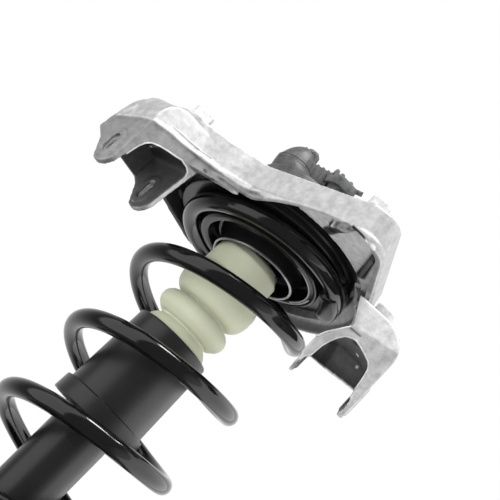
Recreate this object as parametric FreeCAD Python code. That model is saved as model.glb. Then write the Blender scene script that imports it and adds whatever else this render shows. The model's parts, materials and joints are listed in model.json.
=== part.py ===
import FreeCAD, Part
import math
import os
from FreeCAD import Vector

# Strut assembly with a cast top bracket, all sizes in millimetres.
# The origin is the centre of the lower eye, Z runs up the strut, X along the eye's bolt.

# Clearances
GRIP = 0.1              # room between the dust tube's inner edge and the bump stop's groove
PRESS = 0.02            # radial room of a pressed ring in its seat
RUN = 0.05              # radial room of a sliding or turning fit
SEAT = 0.3              # room between a soft face and the round wire on it

# Lower eye
EYE_OUTER = 22.0
EYE_BORE = 16.5
EYE_WIDTH = 40.0
SLEEVE_OUTER = 9.6
SLEEVE_BORE = 6.1
SLEEVE_LENGTH = 50.0
NECK_HEIGHT = 36.0
NECK_SHOULDER = 27.0

# Strut tube and damper inside it
TUBE_OUTER = 23.0
TUBE_WALL = 2.2
TUBE_TOP = 285.0
INNER_TUBE_OUTER = 16.0
INNER_TUBE_WALL = 1.5
VALVE_HEIGHT = 9.0
GUIDE_HEIGHT = 26.0
SEAL_HEIGHT = 6.0
CAP_WALL = 2.2
CAP_SKIRT = 16.0
ROD_RADIUS = 6.5
ROD_BOTTOM = 176.0
PISTON_HEIGHT = 16.0
PISTON_ROOM = 0.6
BAND_HEIGHT = 8.0
REBOUND_HEIGHT = 14.0
DROOP_GAP = 0.3
PISTON_NUT_FLATS = 16.0
PISTON_NUT_HEIGHT = 7.0
THREAD_RADIUS = 6.0

# Lower spring seat
SEAT_TOP = 133.0
SEAT_ROOM = 1.5
SEAT_STEEL = 3.0
SEAT_RIM = 9.0
PAD_RUBBER = 4.0
PAD_ROOM = 0.5
PAD_INSIDE = 6.0
COLLAR_RADIUS = 31.0
COLLAR_HEIGHT = 20.0

# Coil spring
WIRE_RADIUS = 7.0
COIL_RADIUS = 63.0
COIL_SHIFT = 4.4
COIL_LEAN = 4.3
COIL_BOTTOM_ANGLE = -840.0
COIL_FOOT_ANGLE = -648.0
COIL_TOP_ANGLE = 1072.0
FLAT_BOTTOM_END = -650.0
FLAT_BOTTOM_START = -500.0
TOP_LIFT_START = 722.0
TOP_LIFT_END = 808.0
COIL_STEP = 90.0
COIL_TOP_DROP = 20.8

# Top mount, which is tilted against the strut's axis
CUP_HEIGHT = 430.0
MOUNT_TILT = 12.0
MOUNT_HEADING = -50.0
HOUSING_BORE = 31.0
HOUSING_WALL = 6.0
HOUSING_LOW = 12.0
HOUSING_TOP = 55.0
SHELL_WALL = 2.5
INNER_SLEEVE_OUTER = 11.0
INNER_SLEEVE_LOW = 6.0
INNER_SLEEVE_LENGTH = 50.0
RUBBER_INSET = 4.0
CUP_RIM = 37.5
CUP_LOW = -5.0
CUP_STEEL = 2.0
WASHER_RADIUS = 17.0
WASHER_THICK = 3.0
NUT_FLATS = 18.0
NUT_HEIGHT = 11.0
BUMP_WASHER_RADIUS = 24.0

# Upper spring plate and pad
PLATE_RADIUS = 74.0
PLATE_STEEL = 3.0
PLATE_LOW = 20.0
DECK_LOW = 31.0
PAD_LOW = 15.0
LIP_ROOM = 2.5
LIP_WALL = 5.0
LIP_LOW = 1.5

# Bump stop, profile heights below the cup's rim
BUMP_RADIUS = 27.0
BUMP_BULGE = 32.0
BUMP_NECK = 23.0
BUMP_SECOND = 28.6
BUMP_LENGTH = 92.0
BUMP_EDGE = 2.7
BUMP_COLLAR = 18.0

# Dust tube
DUST_DROP = 81.0
DUST_LENGTH = 81.0
DUST_LIP = 10.0
DUST_TOP_RADIUS = 31.7
DUST_STEP_RADIUS = 33.6
DUST_RIM_RADIUS = 35.2
DUST_WALL = 1.8
DUST_CEILING = 3.0

# Bracket casting, levels measured up the mount's own axis from the cup's rim
DECK_THICK = 6.0
RIM_WALL = 4.5
RIM_RADIUS = 79.5
RIM_LOW = 9.0
CORNER_X = 45.0
CORNER_Y = -107.0
CORNER_RADIUS = 20.0
SIDE_X = 76.0
SIDE_Y = -20.0
SIDE_RADIUS = 15.0
SHOULDER_X = -98.0
SHOULDER_Y = -54.0
SHOULDER_RADIUS = 13.0
SHOULDER_RUN = 51.0
SHOULDER_LOW = 2.5
ARCH_RISE = 8.5
ARCH_SPAN = 80.0
ARCH_X = 12.0
BEAD_OUT = 1.2
BEAD_HEIGHT = 3.0
BEAD_RAISE = 3.5
RIB_THICK = 4.0
BOSS_RADIUS = 8.0
BOSS_RISE = 9.0
BOSS_HOLE = 3.4
BOSS_DEPTH = 14.0
CORNER_BOSS = 12.0

# Arm pockets, sized across the bolt, along the arm and in height over the cup's rim
POCKET_WIDTH = 42.0
EAR_THICK = 4.5
POCKET_FRONT = -24.0
POCKET_BACK = 21.5
POCKET_WALL = 5.0
ROOF_LOW = 0.5
ROOF_THICK = 6.0
ARCH_CORNER = 15.0
ARCH_WIDE = 26.0
ARCH_TIGHT = 5.0
OUTER_CORNER = 24.0
INNER_CORNER = 5.0
HOOD_TOP = 28.5
HOOD_LEAN = 8.0
HOOD_RIDGE = 3.0
RIDGE_RISE = 11.0
EAR_BOTTOM = -43.0
EAR_LOBE = 14.5
EAR_CENTRE = -10.0
BACK_LOW = -19.0
SLOT_WIDTH = 8.0
SLOT_LENGTH = 16.0
SLOT_RAISE = 1.2
SLOT_BORDER = 4.5
LEFT_X = -127.0
LEFT_Y = -65.0
LEFT_HEADING = 37.7
LEFT_DROP = 0.0
LEFT_ADVANCE = 7.0
ROOT_REACH = 0.93
ROOT_RADIUS = 20.0
ROOT_ALONG = 18.0
RIGHT_X = 72.0
RIGHT_Y = -56.0
RIGHT_HEADING = -6.9
RIGHT_DROP = 5.0
POST_START = 5.0
POST_THICK = 8.0
RIGHT_ADVANCE = 0.0

# Cover over the mount and what is on it
COVER_RADIUS = 37.0
COVER_WALL = 2.6
COVER_TOP = 82.0
COVER_ROUND = 9.0
DOME_RADIUS = 15.0
DOME_HEIGHT = 13.0
DOME_OUT = 21.0
DOME_HEADING = 203.0
PLUG_FLATS = 10.0
PLUG_HEIGHT = 17.0
PLUG_OUT = 17.0
PLUG_HEADING = 232.0
CLIP_LENGTH = 18.0
CLIP_WIDTH = 8.0
CLIP_HEIGHT = 7.0
CLIP_OUT = 29.0
CLIP_HEADING = -48.0
CLIP_TEETH = 4
CLIP_TOOTH = 3.5

UP = Vector(0, 0, 1)
EAST = Vector(1, 0, 0)


def point(x, y, z):
    return Vector(x, y, z)


def disc(radius, low, high, x=0.0, y=0.0):
    return Part.makeCylinder(radius, high - low, point(x, y, low), UP)


def ring(outer, inner, low, high):
    return disc(outer, low, high).cut(disc(inner, low - 1, high + 1))


def prism(corners, low, high):
    loop = [point(x, y, low) for x, y in corners]
    face = Part.Face(Part.makePolygon(loop + [loop[0]]))
    return face.extrude(point(0, 0, high - low))


def turned(outline):
    """Solid of revolution about Z from a list of radius and height pairs."""
    loop = [point(r, 0, z) for r, z in outline]
    face = Part.Face(Part.makePolygon(loop + [loop[0]]))
    return face.revolve(point(0, 0, 0), UP, 360)


def turned_curves(start, pieces):
    """Solid of revolution whose outline has lines (one point) and arcs (two points)."""
    edges = []
    here = point(start[0], 0, start[1])
    for piece in pieces:
        spots = [point(r, 0, z) for r, z in piece]
        if len(spots) == 1:
            edges.append(Part.makeLine(here, spots[0]))
        else:
            edges.append(Part.Arc(here, spots[0], spots[1]).toShape())
        here = spots[-1]
    face = Part.Face(Part.Wire(edges))
    return face.revolve(point(0, 0, 0), UP, 360)


def hexagon(flats, low, high, x=0.0, y=0.0):
    reach = flats / 2 / math.cos(math.radians(30))
    corners = []
    for side in range(6):
        angle = math.radians(60 * side)
        corners.append((x + reach * math.cos(angle), y + reach * math.sin(angle)))
    return prism(corners, low, high)


def hull(first, second, low, high):
    """Prism round two discs, each given as x, y and radius, with their outer tangents."""
    x1, y1, r1 = first
    x2, y2, r2 = second
    gap = math.hypot(x2 - x1, y2 - y1)
    heading = math.atan2(y2 - y1, x2 - x1)
    turn = math.acos((r1 - r2) / gap)
    corners = []
    for cx, cy, r, side in ((x1, y1, r1, 1), (x2, y2, r2, 1), (x2, y2, r2, -1), (x1, y1, r1, -1)):
        angle = heading + side * turn
        corners.append((cx + r * math.cos(angle), cy + r * math.sin(angle)))
    body = disc(r1, low, high, x1, y1).fuse(disc(r2, low, high, x2, y2))
    return body.fuse(prism(corners, low, high)).removeSplitter()


def heading_vector():
    angle = math.radians(MOUNT_HEADING)
    return point(math.cos(angle), math.sin(angle), 0)


def tilted(shape):
    """Lay a shape built on the strut's axis into the mount's tilted frame."""
    toward = heading_vector()
    copy = shape.copy()
    axis = point(toward.y, -toward.x, 0)
    copy.rotate(point(0, 0, CUP_HEIGHT), axis, MOUNT_TILT)
    return copy


def mount_ring(outer, inner, low, high):
    return tilted(ring(outer, inner, CUP_HEIGHT + low, CUP_HEIGHT + high))


def mount_turned(outline):
    return tilted(turned([(r, CUP_HEIGHT + z) for r, z in outline]))


def biggest(shape):
    return max(shape.Solids, key=lambda solid: solid.Volume)


def save(name, shape):
    solids = shape.Solids
    body = solids[0] if len(solids) == 1 else Part.makeCompound(solids)
    body.exportStep(os.path.join("parts", name + ".step"))
    print(name, "solids", len(solids), "valid", body.isValid(), "volume", round(body.Volume, 1))


# Lower eye and its bush

def lower_eye():
    eye = Part.makeCylinder(EYE_OUTER, EYE_WIDTH, point(-EYE_WIDTH / 2, 0, 0), EAST)
    fit = TUBE_OUTER - TUBE_WALL - PRESS
    neck = disc(fit, 0, NECK_HEIGHT)
    shoulder = disc(TUBE_OUTER, 0, NECK_SHOULDER)
    body = eye.fuse(neck).fuse(shoulder)
    block = Part.makeBox(EYE_WIDTH, 2 * EYE_OUTER, NECK_HEIGHT, point(-EYE_WIDTH / 2, -EYE_OUTER, 0))
    kept = body.common(block.fuse(eye).fuse(disc(TUBE_OUTER, EYE_OUTER * 0.6, NECK_HEIGHT)))
    bore = Part.makeCylinder(EYE_BORE, EYE_WIDTH + 20, point(-EYE_WIDTH / 2 - 10, 0, 0), EAST)
    return kept.cut(bore).removeSplitter()


def eye_rubber():
    outer = Part.makeCylinder(EYE_BORE - PRESS, EYE_WIDTH, point(-EYE_WIDTH / 2, 0, 0), EAST)
    inner = Part.makeCylinder(SLEEVE_OUTER, EYE_WIDTH + 2, point(-EYE_WIDTH / 2 - 1, 0, 0), EAST)
    body = outer.cut(inner)
    for end in (-1, 1):
        groove = Part.makeTorus((EYE_BORE + SLEEVE_OUTER) / 2, 2.0, point(end * EYE_WIDTH / 2, 0, 0), EAST)
        body = body.cut(groove)
    return body


def eye_sleeve():
    radius = SLEEVE_OUTER - RUN
    outer = Part.makeCylinder(radius, SLEEVE_LENGTH, point(-SLEEVE_LENGTH / 2, 0, 0), EAST)
    inner = Part.makeCylinder(SLEEVE_BORE, SLEEVE_LENGTH + 2, point(-SLEEVE_LENGTH / 2 - 1, 0, 0), EAST)
    return outer.cut(inner)


# Strut tube and damper

def strut_tube():
    inner = TUBE_OUTER - TUBE_WALL
    body = ring(TUBE_OUTER, inner, NECK_SHOULDER, TUBE_TOP)
    top = [edge for edge in body.Edges if edge.BoundBox.ZMin > TUBE_TOP - 0.01]
    return body.makeChamfer(0.6, top)


def guide_low():
    return TUBE_TOP - SEAL_HEIGHT - GUIDE_HEIGHT


def base_valve():
    inner = INNER_TUBE_OUTER - INNER_TUBE_WALL
    low = NECK_HEIGHT
    body = disc(INNER_TUBE_OUTER, low, low + VALVE_HEIGHT / 2)
    plug = disc(inner - PRESS, low + VALVE_HEIGHT / 2, low + VALVE_HEIGHT)
    body = body.fuse(plug)
    for port in range(6):
        angle = math.radians(60 * port)
        x = inner * 0.62 * math.cos(angle)
        y = inner * 0.62 * math.sin(angle)
        body = body.cut(disc(1.5, low - 1, low + VALVE_HEIGHT + 1, x, y))
    return body.removeSplitter()


def pressure_tube():
    inner = INNER_TUBE_OUTER - INNER_TUBE_WALL
    return ring(INNER_TUBE_OUTER, inner, NECK_HEIGHT + VALVE_HEIGHT / 2, guide_low() + GUIDE_HEIGHT / 3)


def rod_guide():
    low = guide_low()
    step = low + GUIDE_HEIGHT / 3
    bore = ROD_RADIUS + RUN
    body = ring(TUBE_OUTER - TUBE_WALL - PRESS, bore, step, low + GUIDE_HEIGHT)
    spigot = ring(INNER_TUBE_OUTER - INNER_TUBE_WALL - PRESS, bore, low, step)
    return body.fuse(spigot).removeSplitter()


def rod_seal():
    low = TUBE_TOP - SEAL_HEIGHT
    return ring(TUBE_OUTER - TUBE_WALL - PRESS, ROD_RADIUS + RUN, low, TUBE_TOP)


def tube_cap():
    inner = TUBE_OUTER + PRESS
    outer = inner + CAP_WALL
    top = TUBE_TOP + CAP_WALL
    bore = ROD_RADIUS + 2.5
    outline = [(bore, TUBE_TOP), (inner, TUBE_TOP), (inner, TUBE_TOP - CAP_SKIRT)]
    outline += [(outer, TUBE_TOP - CAP_SKIRT), (outer, top - 1.2), (outer - 1.2, top), (bore, top)]
    return turned(outline)


def rod_top():
    return CUP_HEIGHT + INNER_SLEEVE_LOW + INNER_SLEEVE_LENGTH + WASHER_THICK + NUT_HEIGHT + 5.0


def piston_rod():
    shoulder = CUP_HEIGHT + INNER_SLEEVE_LOW - WASHER_THICK
    outline = [(0, ROD_BOTTOM), (THREAD_RADIUS - 1.0, ROD_BOTTOM), (THREAD_RADIUS, ROD_BOTTOM + 1.0)]
    outline += [(THREAD_RADIUS, piston_top()), (ROD_RADIUS, piston_top()), (ROD_RADIUS, shoulder)]
    outline += [(THREAD_RADIUS, shoulder), (THREAD_RADIUS, rod_top() - 1.0), (THREAD_RADIUS - 1.0, rod_top())]
    outline += [(0, rod_top())]
    return turned(outline)


def piston_low():
    return ROD_BOTTOM + PISTON_NUT_HEIGHT + 2.0


def piston_top():
    return piston_low() + PISTON_HEIGHT


def piston_radius():
    return INNER_TUBE_OUTER - INNER_TUBE_WALL - PISTON_ROOM


def band_levels():
    middle = piston_low() + PISTON_HEIGHT / 2
    return middle - BAND_HEIGHT / 2, middle + BAND_HEIGHT / 2


def piston():
    low, high = band_levels()
    body = ring(piston_radius(), THREAD_RADIUS + PRESS, piston_low(), piston_top())
    body = body.cut(ring(piston_radius() + 1, piston_radius() - 1.2, low, high))
    for port in range(6):
        angle = math.radians(60 * port + 30)
        reach = (piston_radius() + THREAD_RADIUS) / 2
        x = reach * math.cos(angle)
        y = reach * math.sin(angle)
        body = body.cut(disc(1.4, piston_low() - 1, piston_top() + 1, x, y))
    return body


def piston_band():
    low, high = band_levels()
    bore = INNER_TUBE_OUTER - INNER_TUBE_WALL
    return ring(bore - RUN, piston_radius() - 1.2 + PRESS, low, high)


def piston_nut():
    body = hexagon(PISTON_NUT_FLATS, piston_low() - PISTON_NUT_HEIGHT, piston_low())
    return body.cut(disc(THREAD_RADIUS + PRESS, ROD_BOTTOM - 5, piston_low() + 5))


def rebound_stop():
    top = guide_low() - DROOP_GAP
    outer = piston_radius() - 1.5
    inner = ROD_RADIUS + PRESS
    low = top - REBOUND_HEIGHT
    outline = [(inner, low), (outer - 1.5, low), (outer, low + 1.5), (outer, top - 1.5), (outer - 1.5, top)]
    return turned(outline + [(inner, top)])


# Lower spring seat

def seat_radius():
    return COIL_SHIFT + COIL_RADIUS + WIRE_RADIUS + SEAT_ROOM + SEAT_STEEL


def lower_spring_seat():
    wide = seat_radius()
    inner = TUBE_OUTER + PRESS
    low = SEAT_TOP - SEAT_STEEL
    outline = [(inner, low - SEAT_RIM), (inner + SEAT_STEEL, low - SEAT_RIM), (COLLAR_RADIUS + 4, low)]
    outline += [(wide - SEAT_STEEL, low), (wide, low + SEAT_STEEL), (wide, SEAT_TOP + SEAT_RIM)]
    outline += [(wide - SEAT_STEEL, SEAT_TOP + SEAT_RIM), (wide - SEAT_STEEL, SEAT_TOP)]
    outline += [(COLLAR_RADIUS + 2, SEAT_TOP), (inner, SEAT_TOP - SEAT_RIM + 1)]
    return turned(outline)


def seat_collar():
    top = SEAT_TOP - SEAT_STEEL - SEAT_RIM
    inner = TUBE_OUTER + PRESS
    outline = [(inner, top - COLLAR_HEIGHT), (inner + 2.5, top - COLLAR_HEIGHT)]
    outline += [(inner + SEAT_STEEL, top - COLLAR_HEIGHT + 1), (inner + SEAT_STEEL, top), (inner, top)]
    return turned(outline)


def lower_spring_pad():
    shift = COIL_SHIFT / 2
    outer = seat_radius() - SEAT_STEEL - PAD_ROOM - shift
    inner = COIL_RADIUS - WIRE_RADIUS - PAD_INSIDE
    body = ring(outer, inner, SEAT_TOP, SEAT_TOP + PAD_RUBBER)
    body.translate(point(shift, 0, 0))
    return body


# Coil spring

def smooth(value, start, end):
    share = min(1.0, max(0.0, (value - start) / (end - start)))
    return share * share * (3 - 2 * share)


def plane_height(x, y, level):
    """Height of the mount's tilted plane at a level, over a spot on the plan."""
    toward = heading_vector()
    lean = math.radians(MOUNT_TILT)
    out = x * toward.x + y * toward.y
    return CUP_HEIGHT + (level + out * math.sin(lean)) / math.cos(lean)


def coil_point(angle):
    turn = math.radians(angle)
    x = COIL_SHIFT + COIL_RADIUS * math.cos(turn)
    y = COIL_RADIUS * math.sin(turn)
    low = SEAT_TOP + PAD_RUBBER + WIRE_RADIUS + SEAT
    top = plane_height(x, y, PAD_LOW - WIRE_RADIUS - SEAT)
    middle_top = CUP_HEIGHT - COIL_TOP_DROP
    climbed = (angle - COIL_FOOT_ANGLE) / (720 - COIL_FOOT_ANGLE)
    main = low + (middle_top - low) * climbed - y * math.tan(math.radians(COIL_LEAN))
    rise = smooth(angle, FLAT_BOTTOM_END, FLAT_BOTTOM_START)
    height = low + (main - low) * rise
    lift = smooth(angle, TOP_LIFT_START, TOP_LIFT_END)
    return point(x, y, height + (top - height) * lift)


def coil_tangent(angle):
    step = 0.5
    return (coil_point(angle + step) - coil_point(angle - step)).normalize()


def arc_edge(start, corner, end):
    """Arc from start to end whose two tangents meet at the corner."""
    middle = (start + end) * 0.5
    rise = corner - middle
    half = (end - start).Length / 2
    if rise.Length < 1e-6 * half:
        return Part.makeLine(start, end)
    bend = math.atan2(rise.Length, half)
    top = middle + rise * (half * math.tan(bend / 2) / rise.Length)
    return Part.Arc(start, top, end).toShape()


def biarc(p0, t0, p1, t1):
    """Two tangent arcs from p0 to p1 that leave along t0 and arrive along t1."""
    span = p1 - p0
    total = t0 + t1
    curve = 2 * (1 - t0.dot(t1))
    along = span.dot(total)
    reach = (-along + math.sqrt(along * along + curve * span.dot(span))) / curve
    c0 = p0 + t0 * reach
    c1 = p1 - t1 * reach
    joint = (c0 + c1) * 0.5
    return [arc_edge(p0, c0, joint), arc_edge(joint, c1, p1)]


def coil_angles():
    count = int(math.ceil((COIL_TOP_ANGLE - COIL_BOTTOM_ANGLE) / COIL_STEP))
    step = (COIL_TOP_ANGLE - COIL_BOTTOM_ANGLE) / count
    return [COIL_BOTTOM_ANGLE + step * index for index in range(count + 1)]


def coil_spring():
    angles = coil_angles()
    edges = []
    for low, high in zip(angles, angles[1:]):
        edges += biarc(coil_point(low), coil_tangent(low), coil_point(high), coil_tangent(high))
    path = Part.Wire(edges)
    start = coil_point(angles[0])
    circle = Part.Wire(Part.makeCircle(WIRE_RADIUS, start, coil_tangent(angles[0])))
    body = path.makePipeShell([circle], True, False)
    report_gap(path)
    return body


def report_gap(path):
    spots = path.discretize(Number=700)
    length = path.Length
    step = length / (len(spots) - 1)
    skip = int(4 * WIRE_RADIUS / step) + 1
    gap = 1e9
    for first in range(len(spots)):
        for other in range(first + skip, len(spots)):
            gap = min(gap, spots[first].distanceToPoint(spots[other]))
    print("coil least gap to itself", round(gap - 2 * WIRE_RADIUS, 2))
    print("coil length", round(length, 1), "turns", round((COIL_TOP_ANGLE - COIL_BOTTOM_ANGLE) / 360, 2))


# Upper spring plate and pad

def upper_spring_plate():
    inner = HOUSING_BORE + HOUSING_WALL + PRESS
    top = DECK_LOW
    outline = [(inner, PLATE_LOW), (PLATE_RADIUS - 1.5, PLATE_LOW), (PLATE_RADIUS, PLATE_LOW + 1.5)]
    floor = PLATE_LOW + PLATE_STEEL
    outline += [(PLATE_RADIUS, top), (PLATE_RADIUS - PLATE_STEEL, top), (PLATE_RADIUS - PLATE_STEEL, floor)]
    outline += [(inner + PLATE_STEEL, floor), (inner + PLATE_STEEL, top), (inner, top)]
    return mount_turned(outline)


def lip_radius():
    return COIL_RADIUS - WIRE_RADIUS - LIP_ROOM


def upper_spring_pad():
    outer = PLATE_RADIUS - 1.0
    lip = lip_radius()
    inner = lip - LIP_WALL
    outline = [(lip - 2, PAD_LOW), (outer - 1.5, PAD_LOW), (outer, PAD_LOW + 1.5), (outer, PLATE_LOW)]
    hole = inner + COIL_SHIFT + 1
    face = mount_turned(outline + [(hole, PLATE_LOW), (hole, PAD_LOW)])
    rounded = [(inner, LIP_LOW + 1), (inner + 1, LIP_LOW), (lip - 1.5, LIP_LOW), (lip, LIP_LOW + 3)]
    edge = mount_turned(rounded + [(lip, PLATE_LOW), (inner, PLATE_LOW)])
    edge.translate(point(COIL_SHIFT, 0, plane_height(COIL_SHIFT, 0, 0) - plane_height(0, 0, 0)))
    return biggest(face.fuse(edge).removeSplitter())


# Mount bush and what the rod is held by

def bush_shell():
    outer = HOUSING_BORE - PRESS
    return mount_ring(outer, outer - SHELL_WALL, HOUSING_LOW + 1, HOUSING_TOP - 3)


def upright_sleeve(radius, extra=0.0):
    low = CUP_HEIGHT + INNER_SLEEVE_LOW - extra
    return disc(radius, low, CUP_HEIGHT + INNER_SLEEVE_LOW + INNER_SLEEVE_LENGTH + extra)


def bush_rubber():
    outer = HOUSING_BORE - PRESS - SHELL_WALL
    low = HOUSING_LOW + 1 + RUBBER_INSET
    top = HOUSING_TOP - 3 - RUBBER_INSET
    outline = [(0, low), (INNER_SLEEVE_OUTER + 3, low), (outer - 6, low + 4), (outer, low), (outer, top)]
    outline += [(outer - 6, top - 4), (INNER_SLEEVE_OUTER + 3, top), (0, top)]
    body = mount_turned(outline)
    return biggest(body.cut(upright_sleeve(INNER_SLEEVE_OUTER, 10)))


def inner_sleeve():
    return upright_sleeve(INNER_SLEEVE_OUTER).cut(upright_sleeve(THREAD_RADIUS + PRESS, 1))


def rod_washer():
    low = CUP_HEIGHT + INNER_SLEEVE_LOW + INNER_SLEEVE_LENGTH
    return ring(WASHER_RADIUS, THREAD_RADIUS + PRESS, low, low + WASHER_THICK)


def rod_nut():
    low = CUP_HEIGHT + INNER_SLEEVE_LOW + INNER_SLEEVE_LENGTH + WASHER_THICK
    flange = disc(NUT_FLATS / 2 + 2.5, low, low + 2)
    body = hexagon(NUT_FLATS, low, low + NUT_HEIGHT).fuse(flange)
    return body.cut(disc(THREAD_RADIUS + PRESS, low - 1, low + NUT_HEIGHT + 1)).removeSplitter()


def bump_washer():
    top = CUP_HEIGHT + INNER_SLEEVE_LOW
    outline = [(THREAD_RADIUS + PRESS, top - WASHER_THICK), (BUMP_WASHER_RADIUS, top - WASHER_THICK)]
    outline += [(BUMP_WASHER_RADIUS, top - WASHER_THICK + 1.5), (INNER_SLEEVE_OUTER + 2, top)]
    return turned(outline + [(THREAD_RADIUS + PRESS, top)])


def bump_cup():
    seat = HOUSING_LOW
    inner = HOUSING_BORE - 0.5
    outer = HOUSING_BORE + HOUSING_WALL
    fold = CUP_RIM - CUP_STEEL
    floor = seat - CUP_STEEL
    outline = [(inner, seat), (inner, floor), (fold - 3, floor), (fold, floor - 3), (fold, CUP_LOW + 0.6)]
    outline += [(fold + 0.6, CUP_LOW), (CUP_RIM - 0.6, CUP_LOW), (CUP_RIM, CUP_LOW + 0.6)]
    outline += [(CUP_RIM, seat - 2.5), (outer, seat)]
    return mount_turned(outline)


def bump_stop():
    top = CUP_HEIGHT + INNER_SLEEVE_LOW - WASHER_THICK
    edge = CUP_HEIGHT - BUMP_EDGE
    bore = ROD_RADIUS + 0.5
    ceiling = dust_top() - DUST_CEILING
    collar = dust_top() + 0.5
    end = CUP_HEIGHT - BUMP_LENGTH
    grip = BUMP_NECK - 1.0
    pieces = [[(BUMP_RADIUS - 4, top)], [(BUMP_RADIUS - 1.0, edge + 1.6), (BUMP_RADIUS, edge)]]
    pieces += [[(BUMP_RADIUS + 0.4, edge - BUMP_COLLAR)]]
    pieces += [[(BUMP_BULGE, edge - 32), (BUMP_BULGE - 1.2, edge - 39)]]
    pieces += [[(BUMP_NECK + 1.5, edge - 44), (BUMP_NECK + 1.2, edge - 46)]]
    pieces += [[(BUMP_SECOND, edge - 57), (BUMP_NECK + 2.0, edge - 69)]]
    pieces += [[(BUMP_SECOND - 1.0, edge - 73.0), (BUMP_SECOND - 2.5, collar)]]
    pieces += [[(grip, collar)], [(grip, ceiling - 0.5)], [(grip + 3.0, ceiling - 0.5)]]
    pieces += [[(grip + 2.0, end + 2)], [(grip - 2.0, end)], [(bore, end)], [(bore, top)]]
    return turned_curves((bore, top), pieces)


def dust_top():
    return CUP_HEIGHT - DUST_DROP


def dust_tube():
    grip = BUMP_NECK - 1.0 + GRIP
    high = dust_top()
    low = high - DUST_CEILING
    rim = high - DUST_LENGTH
    step = rim + DUST_LIP
    taper = (DUST_STEP_RADIUS - DUST_TOP_RADIUS) / (high - step)
    shoulder = DUST_TOP_RADIUS + taper * DUST_CEILING
    outline = [(grip, low), (shoulder - DUST_WALL, low), (DUST_STEP_RADIUS - DUST_WALL, step)]
    outline += [(DUST_RIM_RADIUS - DUST_WALL, step - 2), (DUST_RIM_RADIUS - DUST_WALL, rim)]
    outline += [(DUST_RIM_RADIUS, rim), (DUST_RIM_RADIUS, step - 1.2), (DUST_STEP_RADIUS, step)]
    outline += [(DUST_TOP_RADIUS + 0.1, high - 2.5), (DUST_TOP_RADIUS - 2, high), (grip, high)]
    return turned(outline)


# Cover over the mount

def top_cover():
    outer = COVER_RADIUS
    inner = COVER_RADIUS - COVER_WALL
    top = COVER_TOP
    base = HOUSING_TOP
    r = COVER_ROUND
    k = r * (1 - math.sqrt(0.5))
    w = COVER_WALL
    pieces = [[(outer, CUP_HEIGHT + base)], [(outer, CUP_HEIGHT + top - r)]]
    pieces += [[(outer - k, CUP_HEIGHT + top - k), (outer - r, CUP_HEIGHT + top)]]
    pieces += [[(0, CUP_HEIGHT + top)], [(0, CUP_HEIGHT + top - w)], [(outer - r, CUP_HEIGHT + top - w)]]
    ri = r - w
    ki = ri * (1 - math.sqrt(0.5))
    pieces += [[(inner - ki, CUP_HEIGHT + top - w - ki), (inner, CUP_HEIGHT + top - r)]]
    pieces += [[(inner, CUP_HEIGHT + base)]]
    return tilted(turned_curves((inner, CUP_HEIGHT + base), pieces))


def cover_spot(reach, heading):
    angle = math.radians(heading)
    return reach * math.cos(angle), reach * math.sin(angle)


def cover_dome():
    x, y = cover_spot(DOME_OUT, DOME_HEADING)
    low = CUP_HEIGHT + COVER_TOP
    shoulder = DOME_RADIUS * 0.72
    outline = [(0, low), (DOME_RADIUS, low), (DOME_RADIUS, low + DOME_HEIGHT * 0.3)]
    pieces = [[spot] for spot in outline[1:]]
    pieces += [[(shoulder + 1.6, low + DOME_HEIGHT * 0.78), (DOME_RADIUS * 0.4, low + DOME_HEIGHT)]]
    pieces += [[(0, low + DOME_HEIGHT)], [(0, low)]]
    body = turned_curves(outline[0], pieces)
    body.translate(point(x, y, 0))
    return tilted(biggest(body.cut(plug_block(0.0))))


def plug_block(room):
    x, y = cover_spot(PLUG_OUT, PLUG_HEADING)
    low = CUP_HEIGHT + COVER_TOP
    return hexagon(PLUG_FLATS + 2 * room, low, low + PLUG_HEIGHT, x, y)


def cover_plug():
    x, y = cover_spot(PLUG_OUT, PLUG_HEADING)
    top = CUP_HEIGHT + COVER_TOP + PLUG_HEIGHT
    return tilted(plug_block(PRESS * -1).cut(disc(PLUG_FLATS / 4, top - 4, top + 1, x, y)))


def harness_clip():
    low = CUP_HEIGHT + COVER_TOP
    corner = point(CLIP_OUT - CLIP_WIDTH / 2, -CLIP_LENGTH / 2, low)
    body = Part.makeBox(CLIP_WIDTH, CLIP_LENGTH, CLIP_HEIGHT, corner)
    pitch = CLIP_LENGTH / CLIP_TEETH
    for tooth in range(CLIP_TEETH):
        start = -CLIP_LENGTH / 2 + pitch * (tooth + 0.25)
        place = point(CLIP_OUT - CLIP_WIDTH / 2, start, low + CLIP_HEIGHT)
        body = body.fuse(Part.makeBox(CLIP_WIDTH, pitch / 2, CLIP_TOOTH, place))
    body = body.removeSplitter()
    body.rotate(point(0, 0, 0), UP, CLIP_HEADING)
    return tilted(body)


# Bracket casting

def deck_outline(inset, low, high):
    """Plan of the casting's deck as a prism, drawn in by an inset."""
    low = CUP_HEIGHT + low
    high = CUP_HEIGHT + high
    x, y = pocket_plan(LEFT_X, LEFT_Y, LEFT_HEADING, POCKET_WIDTH / 2, ROOT_ALONG)
    middle = (0.0, 0.0, RIM_RADIUS - inset)
    corner = (CORNER_X, CORNER_Y, CORNER_RADIUS - inset)
    side = (SIDE_X, SIDE_Y, SIDE_RADIUS - inset)
    root = (x * ROOT_REACH, y * ROOT_REACH, ROOT_RADIUS - inset)
    shoulder = (SHOULDER_X, SHOULDER_Y, SHOULDER_RADIUS - inset)
    inner = (SHOULDER_X + SHOULDER_RUN, SHOULDER_Y, SHOULDER_RADIUS - inset)
    body = hull(middle, corner, low, high)
    for pair in ((middle, root), (middle, side), (corner, side), (shoulder, inner)):
        body = body.fuse(hull(pair[0], pair[1], low, high))
    return body.removeSplitter()


def pocket_plan(x, y, heading, across, along):
    angle = math.radians(heading)
    px = x + across * math.cos(angle) - along * math.sin(angle)
    py = y + across * math.sin(angle) + along * math.cos(angle)
    return px, py


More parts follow.
